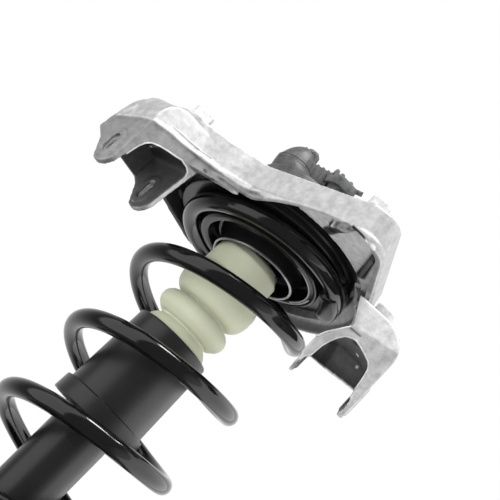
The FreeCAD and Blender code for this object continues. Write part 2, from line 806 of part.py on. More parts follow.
def casting_plate():
    """Deck, rim wall, ribs and bush housing, before they are tilted."""
    deck = deck_outline(0.0, DECK_LOW, DECK_LOW + DECK_THICK)
    rim = deck_outline(0.0, RIM_LOW, DECK_LOW + DECK_THICK)
    bead = deck_outline(-BEAD_OUT, RIM_LOW + BEAD_RAISE, RIM_LOW + BEAD_RAISE + BEAD_HEIGHT)
    rim = rim.fuse(bead)
    rim = rim.cut(deck_outline(RIM_WALL, RIM_LOW - 1, DECK_LOW + DECK_THICK + 1))
    rim = rim.cut(arch_cutter())
    body = deck.fuse(rim)
    outer = HOUSING_BORE + HOUSING_WALL
    body = body.fuse(disc(outer, CUP_HEIGHT + HOUSING_LOW, CUP_HEIGHT + HOUSING_TOP))
    body = body.fuse(corner_ribs())
    return body.cut(disc(HOUSING_BORE, CUP_HEIGHT - 20, CUP_HEIGHT + HOUSING_TOP + 1))


def arch_cutter():
    half = ARCH_SPAN / 2
    radius = (half * half + ARCH_RISE * ARCH_RISE) / 2 / ARCH_RISE
    centre = CUP_HEIGHT + RIM_LOW + ARCH_RISE - radius
    start = point(ARCH_X, -RIM_RADIUS * 1.9, centre)
    return Part.makeCylinder(radius, RIM_RADIUS * 1.6, start, point(0, 1, 0))


def corner_ribs():
    """Two upright ribs under the deck that brace the near corner."""
    ribs = None
    for side in (-1, 1):
        low = CUP_HEIGHT + RIM_LOW + 5
        high = CUP_HEIGHT + DECK_LOW + 1
        start = PLATE_RADIUS + 1.5
        reach = math.hypot(CORNER_X, CORNER_Y) + CORNER_RADIUS - RIM_WALL / 2
        rib = Part.makeBox(reach - start, RIB_THICK, high - low, point(start, -RIB_THICK / 2, low))
        heading = math.degrees(math.atan2(CORNER_Y, CORNER_X)) + side * 9
        rib.rotate(point(0, 0, 0), UP, heading)
        ribs = rib if ribs is None else ribs.fuse(rib)
    inside = deck_outline(RIM_WALL / 2, RIM_LOW, DECK_LOW + 1)
    return ribs.common(inside)


def ear_profile():
    """Side view of a pocket, along the arm and in height, as a list of corners."""
    front = POCKET_FRONT
    back = POCKET_BACK
    top = HOOD_TOP
    centre_z = EAR_BOTTOM + EAR_LOBE
    points = [(front * 2, top), (front * 2, ROOF_LOW), (front - 6.0, ROOF_LOW), (front, centre_z - 2)]
    for step in range(9):
        angle = math.radians(188 + step * 13.5)
        points.append((EAR_CENTRE + EAR_LOBE * math.cos(angle), centre_z + EAR_LOBE * math.sin(angle)))
    points += [(back - 12, BACK_LOW - 7), (back, BACK_LOW), (back - 2, BACK_LOW + 12)]
    points += [(back - 9, top - 16), (back - 18, top)]
    return points


def front_cutter(advance):
    """Room in front of a hood, whose face stands further forward on its far side."""
    start = -EAR_THICK
    end = POCKET_WIDTH + EAR_THICK
    low = point(start, POCKET_FRONT, EAR_BOTTOM)
    run = point(end - start, -advance, 0)
    outward = point(run.y, -run.x, 0).normalize()
    reach = run * 1.0
    first = low - reach
    last = low + reach * 2
    face = Part.Face(Part.makePolygon([first, last, last + outward * 60, first + outward * 60, first]))
    body = face.extrude(point(0, 0, 140))
    ridge = point(start, POCKET_FRONT, HOOD_RIDGE)
    along = point(end - start, -advance, RIDGE_RISE)
    lean = point(0, 0, HOOD_TOP - HOOD_RIDGE) - outward * HOOD_LEAN
    corners = [ridge - along, ridge + along * 2, ridge + along * 2 + lean * 3, ridge - along + lean * 3]
    slope = Part.Face(Part.makePolygon(corners + [corners[0]]))
    return body.fuse(slope.extrude(outward * 60))


def pocket_block(left, right, hand):
    """Outer block of a pocket between two sides, before it is hollowed."""
    loop = [point(left, d, z) for d, z in ear_profile()]
    block = Part.Face(Part.makePolygon(loop + [loop[0]])).extrude(point(right - left, 0, 0))
    corners = (OUTER_CORNER, INNER_CORNER) if hand < 0 else (INNER_CORNER, OUTER_CORNER)
    low = EAR_BOTTOM - 10
    front = arch_prism(left, right, low, HOOD_TOP, corners, POCKET_FRONT * 3, POCKET_BACK + 5)
    return block.common(front)


def arch_corners(hand):
    return (ARCH_WIDE, ARCH_TIGHT) if hand < 0 else (ARCH_CORNER, ARCH_CORNER)


def pocket(x, y, heading, drop, advance, hand):
    """Hood with two ears over an arm's end, open to the front and below."""
    width = POCKET_WIDTH
    block = pocket_block(-EAR_THICK, width + EAR_THICK, hand)
    back = POCKET_BACK - POCKET_WALL
    hollow = arch_prism(0, width, EAR_BOTTOM - 20, ROOF_LOW, arch_corners(hand), POCKET_FRONT * 3, back)
    block = block.cut(hollow)
    block = block.cut(front_cutter(advance))
    block = block.cut(hood_cells(hand))
    block = add_slot_bosses(block, width)
    return placed(block, x, y, heading, drop)


def hood_cells(hand):
    """Two cells in the hood, open above, with a web between them."""
    floor = ROOF_LOW + ROOF_THICK
    depth = POCKET_BACK - POCKET_FRONT - HOOD_LEAN - 18 - POCKET_WALL
    low = POCKET_WIDTH * 0.3
    size = POCKET_WIDTH * 0.7 + EAR_THICK - POCKET_WALL
    if hand > 0:
        low = POST_START + POST_THICK
        size = POCKET_WIDTH * 0.6
    half = (size - RIB_THICK) / 2
    cells = None
    for index in range(2):
        start = low + index * (half + RIB_THICK)
        corner = point(start, POCKET_FRONT + HOOD_LEAN + POCKET_WALL, floor)
        cell = Part.makeBox(half, depth, HOOD_TOP, corner)
        cells = cell if cells is None else cells.fuse(cell)
    return cells


def placed(shape, x, y, heading, drop):
    shape.rotate(point(0, 0, 0), UP, heading)
    shape.translate(point(x, y, CUP_HEIGHT - drop))
    return shape


def arch_prism(left, right, low, high, corners, front, back):
    """Block across the pocket with two rounded upper corners."""
    r1, r2 = corners
    k1 = r1 * (1 - math.sqrt(0.5))
    k2 = r2 * (1 - math.sqrt(0.5))
    a = point(left, front, low)
    b = point(left, front, high - r1)
    c = point(left + r1, front, high)
    d = point(right - r2, front, high)
    e = point(right, front, high - r2)
    f = point(right, front, low)
    m1 = point(left + k1, front, high - k1)
    m2 = point(right - k2, front, high - k2)
    edges = [Part.makeLine(a, b), Part.Arc(b, m1, c).toShape(), Part.makeLine(c, d)]
    edges += [Part.Arc(d, m2, e).toShape(), Part.makeLine(e, f), Part.makeLine(f, a)]
    return Part.Face(Part.Wire(edges)).extrude(point(0, back - front, 0))


def slot_block(start, depth, width, length):
    """Upright slot-shaped block across an ear, centred on the bolt."""
    half = (length - width) / 2
    centre_d = EAR_CENTRE + 2.0
    centre_z = EAR_BOTTOM + EAR_LOBE + 2.0
    low = Part.makeCylinder(width / 2, depth, point(start, centre_d, centre_z - half), EAST)
    high = Part.makeCylinder(width / 2, depth, point(start, centre_d, centre_z + half), EAST)
    core = Part.makeBox(depth, width, 2 * half, point(start, centre_d - width / 2, centre_z - half))
    return low.fuse(high).fuse(core).removeSplitter()


def add_slot_bosses(block, width):
    wide = SLOT_WIDTH + 2 * SLOT_BORDER
    long = SLOT_LENGTH + 2 * SLOT_BORDER
    block = block.fuse(slot_block(-EAR_THICK - SLOT_RAISE, EAR_THICK, wide, long))
    block = block.fuse(slot_block(width + SLOT_RAISE, EAR_THICK, wide, long))
    block = block.fuse(slot_block(width - SLOT_RAISE, SLOT_RAISE + 1, wide, long))
    block = block.fuse(slot_block(-1, 1 + SLOT_RAISE, wide, long))
    return block.cut(slot_block(-EAR_THICK - 5, width + 2 * EAR_THICK + 10, SLOT_WIDTH, SLOT_LENGTH))


def boss_spots():
    """Plan place, foot and top of each body bolt's boss, over the cup's rim."""
    spots = []
    for x, y in ((SHOULDER_X, SHOULDER_Y), (CORNER_X - CORNER_BOSS, CORNER_Y)):
        foot = plane_height(x, y, DECK_LOW) - CUP_HEIGHT
        top = plane_height(x, y, DECK_LOW + DECK_THICK) - CUP_HEIGHT + BOSS_RISE
        spots.append((x, y, foot, top))
    x, y = pocket_plan(RIGHT_X, RIGHT_Y, RIGHT_HEADING, POCKET_WIDTH / 2 - 2.0, 0.0)
    spots.append((x, y, ROOF_LOW + ROOF_THICK / 2 - RIGHT_DROP, HOOD_TOP - RIGHT_DROP + BOSS_RISE))
    return spots


def bosses():
    group = None
    for x, y, foot, top in boss_spots():
        post = disc(BOSS_RADIUS, CUP_HEIGHT + foot, CUP_HEIGHT + top, x, y)
        group = post if group is None else group.fuse(post)
    return group


def boss_holes():
    group = None
    for x, y, foot, top in boss_spots():
        hole = disc(BOSS_HOLE, CUP_HEIGHT + top - BOSS_DEPTH, CUP_HEIGHT + top + 1, x, y)
        group = hole if group is None else group.fuse(hole)
    return group


def pocket_post():
    """Upright that carries the right pocket's hood from the deck."""
    depth = POCKET_BACK - POCKET_FRONT - HOOD_LEAN
    corner = point(POST_START, POCKET_FRONT + HOOD_LEAN, ROOF_LOW + ROOF_THICK / 2)
    post = Part.makeBox(POST_THICK, depth, 80.0, corner)
    post = placed(post, RIGHT_X, RIGHT_Y, RIGHT_HEADING, RIGHT_DROP)
    inside = deck_outline(0.0, -60.0, DECK_LOW + DECK_THICK)
    return post.common(tilted(inside))


def shoulder_lip():
    """Deeper front wall between the near wall and the left pocket."""
    shoulder = (SHOULDER_X, SHOULDER_Y)
    inner = (SHOULDER_X + SHOULDER_RUN, SHOULDER_Y)
    low = CUP_HEIGHT + SHOULDER_LOW
    high = CUP_HEIGHT + DECK_LOW
    outer = hull(shoulder + (SHOULDER_RADIUS,), inner + (SHOULDER_RADIUS,), low, high)
    thin = SHOULDER_RADIUS - RIM_WALL
    wall = outer.cut(hull(shoulder + (thin,), inner + (thin,), low - 1, high + 1))
    near = SHOULDER_Y - SHOULDER_RADIUS - 1
    rise = CUP_HEIGHT + RIM_LOW
    end = inner[0] + SHOULDER_RADIUS
    spots = [(SHOULDER_X, low), (SHOULDER_X + SHOULDER_RUN / 3, low), (end, rise), (end, high)]
    spots.append((SHOULDER_X, high))
    loop = [point(x, near, z) for x, z in spots]
    front = Part.Face(Part.makePolygon(loop + [loop[0]])).extrude(point(0, SHOULDER_RADIUS, 0))
    return wall.common(front)


def pocket_clearance(x, y, heading, drop, advance, hand):
    """Room kept free inside and in front of a pocket."""
    corners = arch_corners(hand)
    back = POCKET_BACK - POCKET_WALL
    room = arch_prism(0, POCKET_WIDTH, EAR_BOTTOM - 20, ROOF_LOW, corners, POCKET_FRONT - 30, back)
    return placed(room, x, y, heading, drop)


def bearing_bracket():
    body = tilted(casting_plate().fuse(shoulder_lip())).fuse(pocket_post())
    left = (LEFT_X, LEFT_Y, LEFT_HEADING, LEFT_DROP, LEFT_ADVANCE, -1)
    right = (RIGHT_X, RIGHT_Y, RIGHT_HEADING, RIGHT_DROP, RIGHT_ADVANCE, 1)
    for place in (left, right):
        body = body.cut(pocket_clearance(*place))
        body = body.fuse(pocket(*place))
    body = body.fuse(bosses())
    body = body.cut(boss_holes())
    body = body.cut(tilted(dish_room())).removeSplitter()
    print("bracket solids", len(body.Solids))
    return biggest(body)


def dish_room():
    """Room below the deck for the spring plate, pad and coil."""
    room = disc(PLATE_RADIUS + 0.8, CUP_HEIGHT - 10, CUP_HEIGHT + DECK_LOW)
    return room.cut(disc(HOUSING_BORE + HOUSING_WALL, CUP_HEIGHT + HOUSING_LOW, CUP_HEIGHT + DECK_LOW + 1))


def main():
    os.makedirs("parts", exist_ok=True)
    save("lower_eye", lower_eye())
    save("eye_rubber", eye_rubber())
    save("eye_sleeve", eye_sleeve())
    save("strut_tube", strut_tube())
    save("base_valve", base_valve())
    save("pressure_tube", pressure_tube())
    save("rod_guide", rod_guide())
    save("rod_seal", rod_seal())
    save("tube_cap", tube_cap())
    save("piston_rod", piston_rod())
    save("piston", piston())
    save("piston_band", piston_band())
    save("piston_nut", piston_nut())
    save("rebound_stop", rebound_stop())
    save("lower_spring_seat", lower_spring_seat())
    save("seat_collar", seat_collar())
    save("lower_spring_pad", lower_spring_pad())
    save("coil_spring", coil_spring())
    save("upper_spring_plate", upper_spring_plate())
    save("upper_spring_pad", upper_spring_pad())
    save("mount_bush_shell", bush_shell())
    save("mount_bush_rubber", bush_rubber())
    save("mount_inner_sleeve", inner_sleeve())
    save("rod_washer", rod_washer())
    save("rod_nut", rod_nut())
    save("bump_washer", bump_washer())
    save("bump_cup", bump_cup())
    save("bump_stop", bump_stop())
    save("dust_tube", dust_tube())
    save("top_cover", top_cover())
    save("cover_dome", cover_dome())
    save("cover_plug", cover_plug())
    save("harness_clip", harness_clip())
    save("bearing_bracket", bearing_bracket())


main()
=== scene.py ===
"""Looks of a strut assembly with a cast top bracket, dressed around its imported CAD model."""
import json
import logging
import math
from collections.abc import Callable, Sequence
from dataclasses import dataclass
from enum import Enum
from typing import NamedTuple

import bmesh
import bpy
import numpy as np
from mathutils import Matrix, Vector


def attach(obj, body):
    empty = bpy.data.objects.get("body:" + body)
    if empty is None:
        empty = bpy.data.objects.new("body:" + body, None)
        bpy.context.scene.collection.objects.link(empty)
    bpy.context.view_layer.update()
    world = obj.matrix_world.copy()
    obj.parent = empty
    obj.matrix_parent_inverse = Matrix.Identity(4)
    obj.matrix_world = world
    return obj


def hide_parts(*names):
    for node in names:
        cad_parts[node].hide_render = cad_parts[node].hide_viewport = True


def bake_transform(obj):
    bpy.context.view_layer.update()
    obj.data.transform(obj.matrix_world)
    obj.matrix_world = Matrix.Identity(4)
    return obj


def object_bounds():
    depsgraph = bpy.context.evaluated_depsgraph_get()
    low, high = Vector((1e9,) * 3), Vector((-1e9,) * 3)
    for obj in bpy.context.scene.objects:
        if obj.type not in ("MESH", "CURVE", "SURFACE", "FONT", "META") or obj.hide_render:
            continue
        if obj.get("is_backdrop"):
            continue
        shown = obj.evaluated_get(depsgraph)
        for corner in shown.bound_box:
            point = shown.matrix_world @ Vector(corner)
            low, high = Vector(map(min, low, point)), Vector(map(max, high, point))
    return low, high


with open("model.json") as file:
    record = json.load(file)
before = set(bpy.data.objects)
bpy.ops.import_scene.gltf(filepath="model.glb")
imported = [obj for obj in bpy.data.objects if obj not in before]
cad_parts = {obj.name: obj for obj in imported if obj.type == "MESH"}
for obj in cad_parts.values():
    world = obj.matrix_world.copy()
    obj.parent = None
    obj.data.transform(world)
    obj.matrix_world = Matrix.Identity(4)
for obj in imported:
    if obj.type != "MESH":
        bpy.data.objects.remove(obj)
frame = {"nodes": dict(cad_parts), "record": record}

LOG = logging.getLogger("strut_assembly")
MM = 0.001
WELD = 1e-7              # metres within which a new mesh's points become one
NEAR_AXIS = 0.01         # millimetres that a turned point keeps from its axis
UPRIGHT = Matrix.Identity(4)
UPWARD = Vector((0.0, 0.0, 1.0))
WHITE = (1.0, 1.0, 1.0, 1.0)
Spot = tuple[float, float, float]
Place = tuple[float, float]
Profile = Sequence[Place]
Pieces = list[bpy.types.Object]


class Body(Enum):
    """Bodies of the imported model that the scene's pieces ride on."""

    UPPER = "upper_mount"
    STRUT = "strut_body"


class Slot(Enum):
    """Material slots of the record, each with the finish that dresses it."""

    CAST = "cast_alloy"
    STEEL = "plain_steel"
    RUBBER = "black_rubber"
    GLOSS = "gloss_black"
    FOAM = "cream_foam"
    DUST = "dust_plastic"
    COIL = "coil_black"
    COVER = "grey_plastic"
    ROD = "rod_chrome"
    BAND = "band_plastic"
    STRUT = "strut_black"


class Seen(Enum):
    """Rays that a studio lamp is seen by."""

    EVERYTHING = "everything"
    GLOSS_ONLY = "gloss_only"
    SOFT_ONLY = "soft_only"


# Measures

def ramp(values: np.ndarray | float, start: float, end: float) -> np.ndarray | float:
    """Smooth step from 0 at start to 1 at end, which may run downward."""
    share = np.clip((values - start) / (end - start), 0.0, 1.0)
    return share * share * (3 - 2 * share)


class Band(NamedTuple):
    """Soft range of a measure, which fades in from low to full and out from last to high."""

    low: float
    full: float
    last: float
    high: float

    def share(self, values: np.ndarray | float) -> np.ndarray | float:
        """Share from 0 outside the range to 1 well inside it."""
        return ramp(values, self.low, self.full) * ramp(values, self.high, self.last)


class Mark(NamedTuple):
    """Round-ended stretch of the skin whose tone paints shade below 1 and a highlight above 1: its two ends, reach and
    tone, in millimetres.
    """

    start: Spot
    end: Spot
    reach: float
    tone: float

    def factor(self, spots: np.ndarray, fade: float) -> np.ndarray:
        """Factor of the painted tone at each point.

        Args:
            spots: Points in the mark's own frame.
            fade: How far the mark fades out past its reach.

        Returns:
            1 away from the mark, and its tone inside.
        """
        start = np.array(self.start)
        run = np.array(self.end) - start
        share = np.clip(((spots - start) @ run) / (run @ run), 0.0, 1.0)
        near = np.linalg.norm(spots - start - share[:, None] * run, axis=1)
        return 1.0 + (self.tone - 1.0) * ramp(near, self.reach + fade, self.reach - 0.2)


@dataclass(frozen=True)
class TopMountFrame:
    """Frame of the tilted top mount, whose heights count from the cup's rim, in millimetres and degrees."""

    height: float = 430.0
    tilt: float = 12.0
    heading: float = -50.0

    def lay(self, x: float = 0.0, y: float = 0.0) -> Matrix:
        """Matrix to the part's frame from the mount's own, or from a place beside its axis.

        Args:
            x: The place along X.
            y: The place along Y.

        Returns:
            The matrix, in millimetres.
        """
        turn = math.radians(self.heading)
        axis = Vector((math.sin(turn), -math.cos(turn), 0.0))
        tilted = Matrix.Translation((0, 0, self.height)) @ Matrix.Rotation(math.radians(self.tilt), 4, axis)
        return tilted @ Matrix.Translation((x, y, 0.0))

    def level(self, x: float, y: float, height: float) -> float:
        """Height of a tilted plane over a place of the plan.

        Args:
            x: Place along X.
            y: Place along Y.
            height: The plane's height in the mount's own frame.

        Returns:
            The height in the part's frame.
        """
        turn, lean = math.radians(self.heading), math.radians(self.tilt)
        out = x * math.cos(turn) + y * math.sin(turn)
        return self.height + (height + out * math.sin(lean)) / math.cos(lean)


MOUNT = TopMountFrame()


# Mesh tools

def linked(name: str, data: bpy.types.ID) -> bpy.types.Object:
    """Put a new object into the scene.

    Args:
        name: Name of the new object.
        data: The mesh, lamp or camera that it holds.

    Returns:
        The object.
    """
    thing = bpy.data.objects.new(name, data)
    bpy.context.scene.collection.objects.link(thing)
    return thing


def weld(mesh: bpy.types.Mesh, near: float, outward: bool) -> None:
    """Join a mesh's points that lie together.

    Args:
        mesh: The mesh.
        near: Distance in metres within which points become one.
        outward: Whether all its faces are turned outward too.
    """
    work = bmesh.new()
    work.from_mesh(mesh)
    bmesh.ops.remove_doubles(work, verts=work.verts, dist=near)
    if outward:
        bmesh.ops.recalc_face_normals(work, faces=work.faces)
    work.to_mesh(mesh)
    work.free()


def skin(name: str, rings: list[list[Vector]], closed: bool = False) -> bpy.types.Object:
    """Make a smooth shaded solid through rings of equally many points, in the part's own frame.

    Args:
        name: Name of the new object.
        rings: Rings of points in millimetres, in order.
        closed: Whether the last ring joins the first, where otherwise each end has a flat cap.

    Returns:
        The solid, linked to the scene.
    """
    count = len(rings[0])
    verts = [tuple(spot * MM) for ring in rings for spot in ring]
    faces = [] if closed else [tuple(range(count)), tuple(range(len(verts) - count, len(verts)))]
    for row in range(len(rings) if closed else len(rings) - 1):
        start, after = row * count, (row + 1) % len(rings) * count
        for index in range(count):
            ahead = (index + 1) % count
            faces.append((start + index, start + ahead, after + ahead, after + index))
    mesh = bpy.data.meshes.new(name)
    mesh.from_pydata(verts, [], faces)
    mesh.validate()
    mesh.shade_smooth()
    weld(mesh, WELD, outward=True)
    return linked(name, mesh)


def rounded(profile: Profile, radii: Sequence[float], steps: int = 6) -> Profile:
    """Round the corners of a closed outline.

    Args:
        profile: Corners of the outline, in millimetres.
        radii: Radius of each corner, 0 where it stays sharp.
        steps: Points on each rounded corner.

    Returns:
        The outline with its rounded corners.
    """
    done = []
    for index, (here, radius) in enumerate(zip(profile, radii)):
        spot = Vector(here)
        back = Vector(profile[index - 1]) - spot
        ahead = Vector(profile[(index + 1) % len(profile)]) - spot
        turn = back.angle(ahead)
        if radius <= 0.0 or turn > math.radians(179):
            done.append((spot.x, spot.y))
            continue
        reach = min(radius / math.tan(turn / 2), back.length * 0.49, ahead.length * 0.49)
        tight = reach * math.tan(turn / 2)
        middle = spot + (back.normalized() + ahead.normalized()).normalized() * (tight / math.sin(turn / 2))
        first = spot + back.normalized() * reach - middle
        last = spot + ahead.normalized() * reach - middle
        sweep = first.angle_signed(last)
        for step in range(steps + 1):
            angle = -sweep * step / steps
            x = first.x * math.cos(angle) - first.y * math.sin(angle)
            y = first.x * math.sin(angle) + first.y * math.cos(angle)
            done.append((middle.x + x, middle.y + y))
    return done


def supported(profile: Profile, near: float = 0.35) -> Profile:
    """Add points close to both ends of each long run, so that its shading stays flat.

    Args:
        profile: Closed outline in millimetres.
        near: Distance of the added points from the ends of a run.

    Returns:
        The outline with its added points.
    """
    done = []
    for index, here in enumerate(profile):
        after = profile[(index + 1) % len(profile)]
        done.append(here)
        gap = math.hypot(after[0] - here[0], after[1] - here[1])
        if gap > near * 4:
            for share in (near / gap, 1 - near / gap):
                done.append((here[0] + (after[0] - here[0]) * share, here[1] + (after[1] - here[1]) * share))
    return done


def arc_spots(radius: float, start: float, end: float, steps: int = 16) -> Profile:
    """Points of an arc about the origin, between two headings in degrees."""
    turns = [math.radians(start + (end - start) * step / steps) for step in range(steps + 1)]
    return [(radius * math.cos(turn), radius * math.sin(turn)) for turn in turns]


def lathe(name: str, profile: Profile, lay: Matrix, steps: int = 144, start: float = 0.0,
          end: float = 360.0) -> bpy.types.Object:
    """Turn a closed outline about its axis.

    Args:
        name: Name of the new object.
        profile: Closed outline as radius and height, in millimetres.
        lay: Matrix that lays the turned shape into the part's frame, in millimetres.
        steps: Number of sides.
        start: Heading that the turn starts at, in degrees.
        end: Heading that it ends at.

    Returns:
        The turned object.
    """
    whole = end - start >= 360.0
    rings = []
    for x, y in arc_spots(1.0, start, end, steps)[:-1 if whole else None]:
        row = [(max(reach, NEAR_AXIS), height) for reach, height in profile]
        rings.append([lay @ Vector((reach * x, reach * y, height)) for reach, height in row])
    return skin(name, rings, whole)


def prism(name: str, outline: Profile, low: float, high: float, lay: Matrix) -> bpy.types.Object:
    """Make a prism from a plan outline, in millimetres, between two heights."""
    return skin(name, [[lay @ Vector((x, y, height)) for x, y in outline] for height in (low, high)])


def run_at(line: list[Vector], index: int) -> Vector:
    """Direction of a line of points at one of them."""
    return (line[min(index + 1, len(line) - 1)] - line[max(index - 1, 0)]).normalized()


def wire_ring(centre: Vector, run: Vector, radius: float, sides: int) -> list[Vector]:
    """Ring of points round a wire.

    Args:
        centre: Point of its centreline, in millimetres.
        run: Its direction there.
        radius: Its radius.
        sides: Number of points.

    Returns:
        The points.
    """
    side = run.cross(UPWARD).normalized()
    rise = side.cross(run)
    turns = [2 * math.pi * k / sides for k in range(sides)]
    return [centre + (side * math.cos(turn) + rise * math.sin(turn)) * radius for turn in turns]


def bead(name: str, spots: Sequence[Spot], radius: float, sides: int = 8) -> bpy.types.Object:
    """Lay a round bead along a line of points in millimetres."""
    line = [Vector(spot) for spot in spots]
    return skin(name, [wire_ring(spot, run_at(line, index), radius, sides) for index, spot in enumerate(line)])


def drop(piece: bpy.types.Object) -> None:
    """Remove a helper object and its mesh.

    Args:
        piece: The object.
    """
    mesh = piece.data
    bpy.data.objects.remove(piece)
    bpy.data.meshes.remove(mesh)


def join(piece: bpy.types.Object, others: Pieces) -> None:
    """Add other solids to a piece's mesh.

    Args:
        piece: The piece that is kept.
        others: The solids, which are removed afterwards.
    """
    work = bmesh.new()
    for part in (piece, *others):
        work.from_mesh(part.data)
    work.to_mesh(piece.data)
    work.free()
    for other in others:
        drop(other)


def bake(piece: bpy.types.Object) -> None:
    """Turn a piece's modifiers into its mesh.

    Args:
        piece: The piece.
    """
    mesh = bpy.data.meshes.new_from_object(piece.evaluated_get(bpy.context.evaluated_depsgraph_get()))
    old = piece.data
    piece.modifiers.clear()
    piece.data = mesh
    bpy.data.meshes.remove(old)
    mesh.name = piece.name


def reshape(piece: bpy.types.Object, move: Callable[[Vector], Vector]) -> None:
    """Move a piece's points.

    Args:
        piece: The piece.
        move: Gives each point's new place, both in millimetres of the top mount's frame.
    """
    lay = MOUNT.lay()
    inverse = lay.inverted()
    for vertex in piece.data.vertices:
        vertex.co = lay @ move(inverse @ (vertex.co / MM)) * MM


# Shaders

class Sheet:
    """A node tree, with short ways to add its nodes."""

    def __init__(self, tree: bpy.types.NodeTree) -> None:
        """Start with an empty tree."""
        self.nodes, self.links = tree.nodes, tree.links
        self.nodes.clear()

    def feed(self, node: bpy.types.Node, values: dict[str | int, object]) -> None:
        """Set or link a node's sockets.

        Args:
            node: The node.
            values: Sockets by name or number, each with a plain value or the output that feeds it.
        """
        for label, value in values.items():
            if isinstance(value, bpy.types.NodeSocket):
                self.links.new(value, node.inputs[label])
            else:
                node.inputs[label].default_value = value

    def add(self, kind: str, values: dict[str | int, object] | None = None, **settings: object) -> bpy.types.Node:
        """Add a node.

        Args:
            kind: Its type, without the words ShaderNode.
            values: Sockets to set or link.
            **settings: The node's own settings.

        Returns:
            The node.
        """
        node = self.nodes.new("ShaderNode" + kind)
        for label, value in settings.items():
            setattr(node, label, value)
        self.feed(node, values or {})
        return node

    def noise(self, scale: bpy.types.NodeSocket | float, detail: float, **more: float) -> bpy.types.NodeSocket:
        """Noise in the object's own coordinates."""
        place = self.add("TexCoord").outputs["Object"]
        return self.add("TexNoise", {"Vector": place, "Scale": scale, "Detail": detail, **more}).outputs["Fac"]

    def math(self, operation: str, first: bpy.types.NodeSocket, second: bpy.types.NodeSocket) -> bpy.types.NodeSocket:
        """Work out one number from two."""
        return self.add("Math", {0: first, 1: second}, operation=operation).outputs["Value"]

    def spread(self, value: bpy.types.NodeSocket, come: Place, go: Place = (0.0, 1.0),
               **settings: object) -> bpy.types.NodeSocket:
        """Map the numbers between two limits to those between two others."""
        limits = {"Value": value, "From Min": come[0], "From Max": come[1], "To Min": go[0], "To Max": go[1]}
        return self.add("MapRange", limits, **settings).outputs["Result"]

    def scaled(self, color: bpy.types.NodeSocket | Spot, share: bpy.types.NodeSocket) -> bpy.types.NodeSocket:
        """Make a colour lighter or darker by a factor."""
        return self.add("VectorMath", {0: color, "Scale": share}, operation="SCALE").outputs["Vector"]

    def mixed(self, first: bpy.types.NodeSocket, second: Spot, share: bpy.types.NodeSocket) -> bpy.types.NodeSocket:
        """Mix a colour towards a plain colour by a mask."""
        return self.add("Mix", {0: share, 6: first, 7: (*second, 1.0)}, data_type="RGBA").outputs[2]

    def group(self, tree: bpy.types.NodeTree, values: dict[str, float]) -> bpy.types.Node:
        """Place a shared group with its own values."""
        return self.add("Group", values, node_tree=tree)


class ShaderKit:
    """Effects that several finishes share, each a node group that is built once."""

    def __init__(self) -> None:
        """Build every group."""
        self.grain = self._grain()
        self.wear = self._wear()
        self.dust = self._dust()

    @staticmethod
    def _open(name: str, inputs: dict[str, float], outputs: list[str]) -> tuple:
        """Start a group.

        Args:
            name: Name of the group.
            inputs: Value inputs and their defaults.
            outputs: Value outputs.

        Returns:
            The group, its sheet, its inputs and its output node.
        """
        tree = bpy.data.node_groups.new(name, "ShaderNodeTree")
        for label, value in inputs.items():
            socket = tree.interface.new_socket(name=label, in_out="INPUT", socket_type="NodeSocketFloat")
            socket.default_value = value
        for label in outputs:
            tree.interface.new_socket(name=label, in_out="OUTPUT", socket_type="NodeSocketFloat")
        sheet = Sheet(tree)
        return tree, sheet, sheet.nodes.new("NodeGroupInput").outputs, sheet.nodes.new("NodeGroupOutput")

    def _grain(self) -> bpy.types.NodeTree:
        """Group with a fine height and a broad mottling.

        Returns:
            The group.
        """
        tree, sheet, given, outlet = self._open("surface_grain", {"Scale": 400.0, "Broad": 30.0}, ["Height", "Mottle"])
        sheet.feed(outlet, {"Height": sheet.noise(given["Scale"], 4.0, Roughness=0.62),
                            "Mottle": sheet.noise(given["Broad"], 5.0, Roughness=0.6)})
        return tree

    def _wear(self) -> bpy.types.NodeTree:
        """Group with a mask that is 1 along sharp edges, broken up by noise.

        Returns:
            The group.
        """
        tree, sheet, given, outlet = self._open("edge_wear", {"Radius": 0.001, "Amount": 1.0, "Scale": 250.0}, ["Mask"])
        eased = sheet.add("Bevel", {"Radius": given["Radius"]}, samples=6).outputs["Normal"]
        plain = sheet.add("NewGeometry").outputs["Normal"]
        flat = sheet.add("VectorMath", {0: eased, 1: plain}, operation="DOT_PRODUCT").outputs["Value"]
        broken = sheet.spread(sheet.noise(given["Scale"], 3.0), (0.35, 0.62))
        edges = sheet.math("MULTIPLY", sheet.spread(flat, (0.985, 0.80)), broken)
        sheet.feed(outlet, {"Mask": sheet.math("MULTIPLY", edges, given["Amount"])})
        return tree

    def _dust(self) -> bpy.types.NodeTree:
        """Group with a mask of fine dust, thicker on faces that look up.

        Returns:
            The group.
        """
        tree, sheet, given, outlet = self._open("settled_dust", {"Amount": 0.1, "Scale": 90.0}, ["Mask"])
        facing = sheet.add("SeparateXYZ", {"Vector": sheet.add("NewGeometry").outputs["Normal"]}).outputs["Z"]
        upward = sheet.spread(facing, (-0.4, 1.0), (0.15, 1.0))
        settled = sheet.math("MULTIPLY", upward, sheet.noise(given["Scale"], 6.0))
        sheet.feed(outlet, {"Mask": sheet.math("MULTIPLY", settled, given["Amount"])})
        return tree


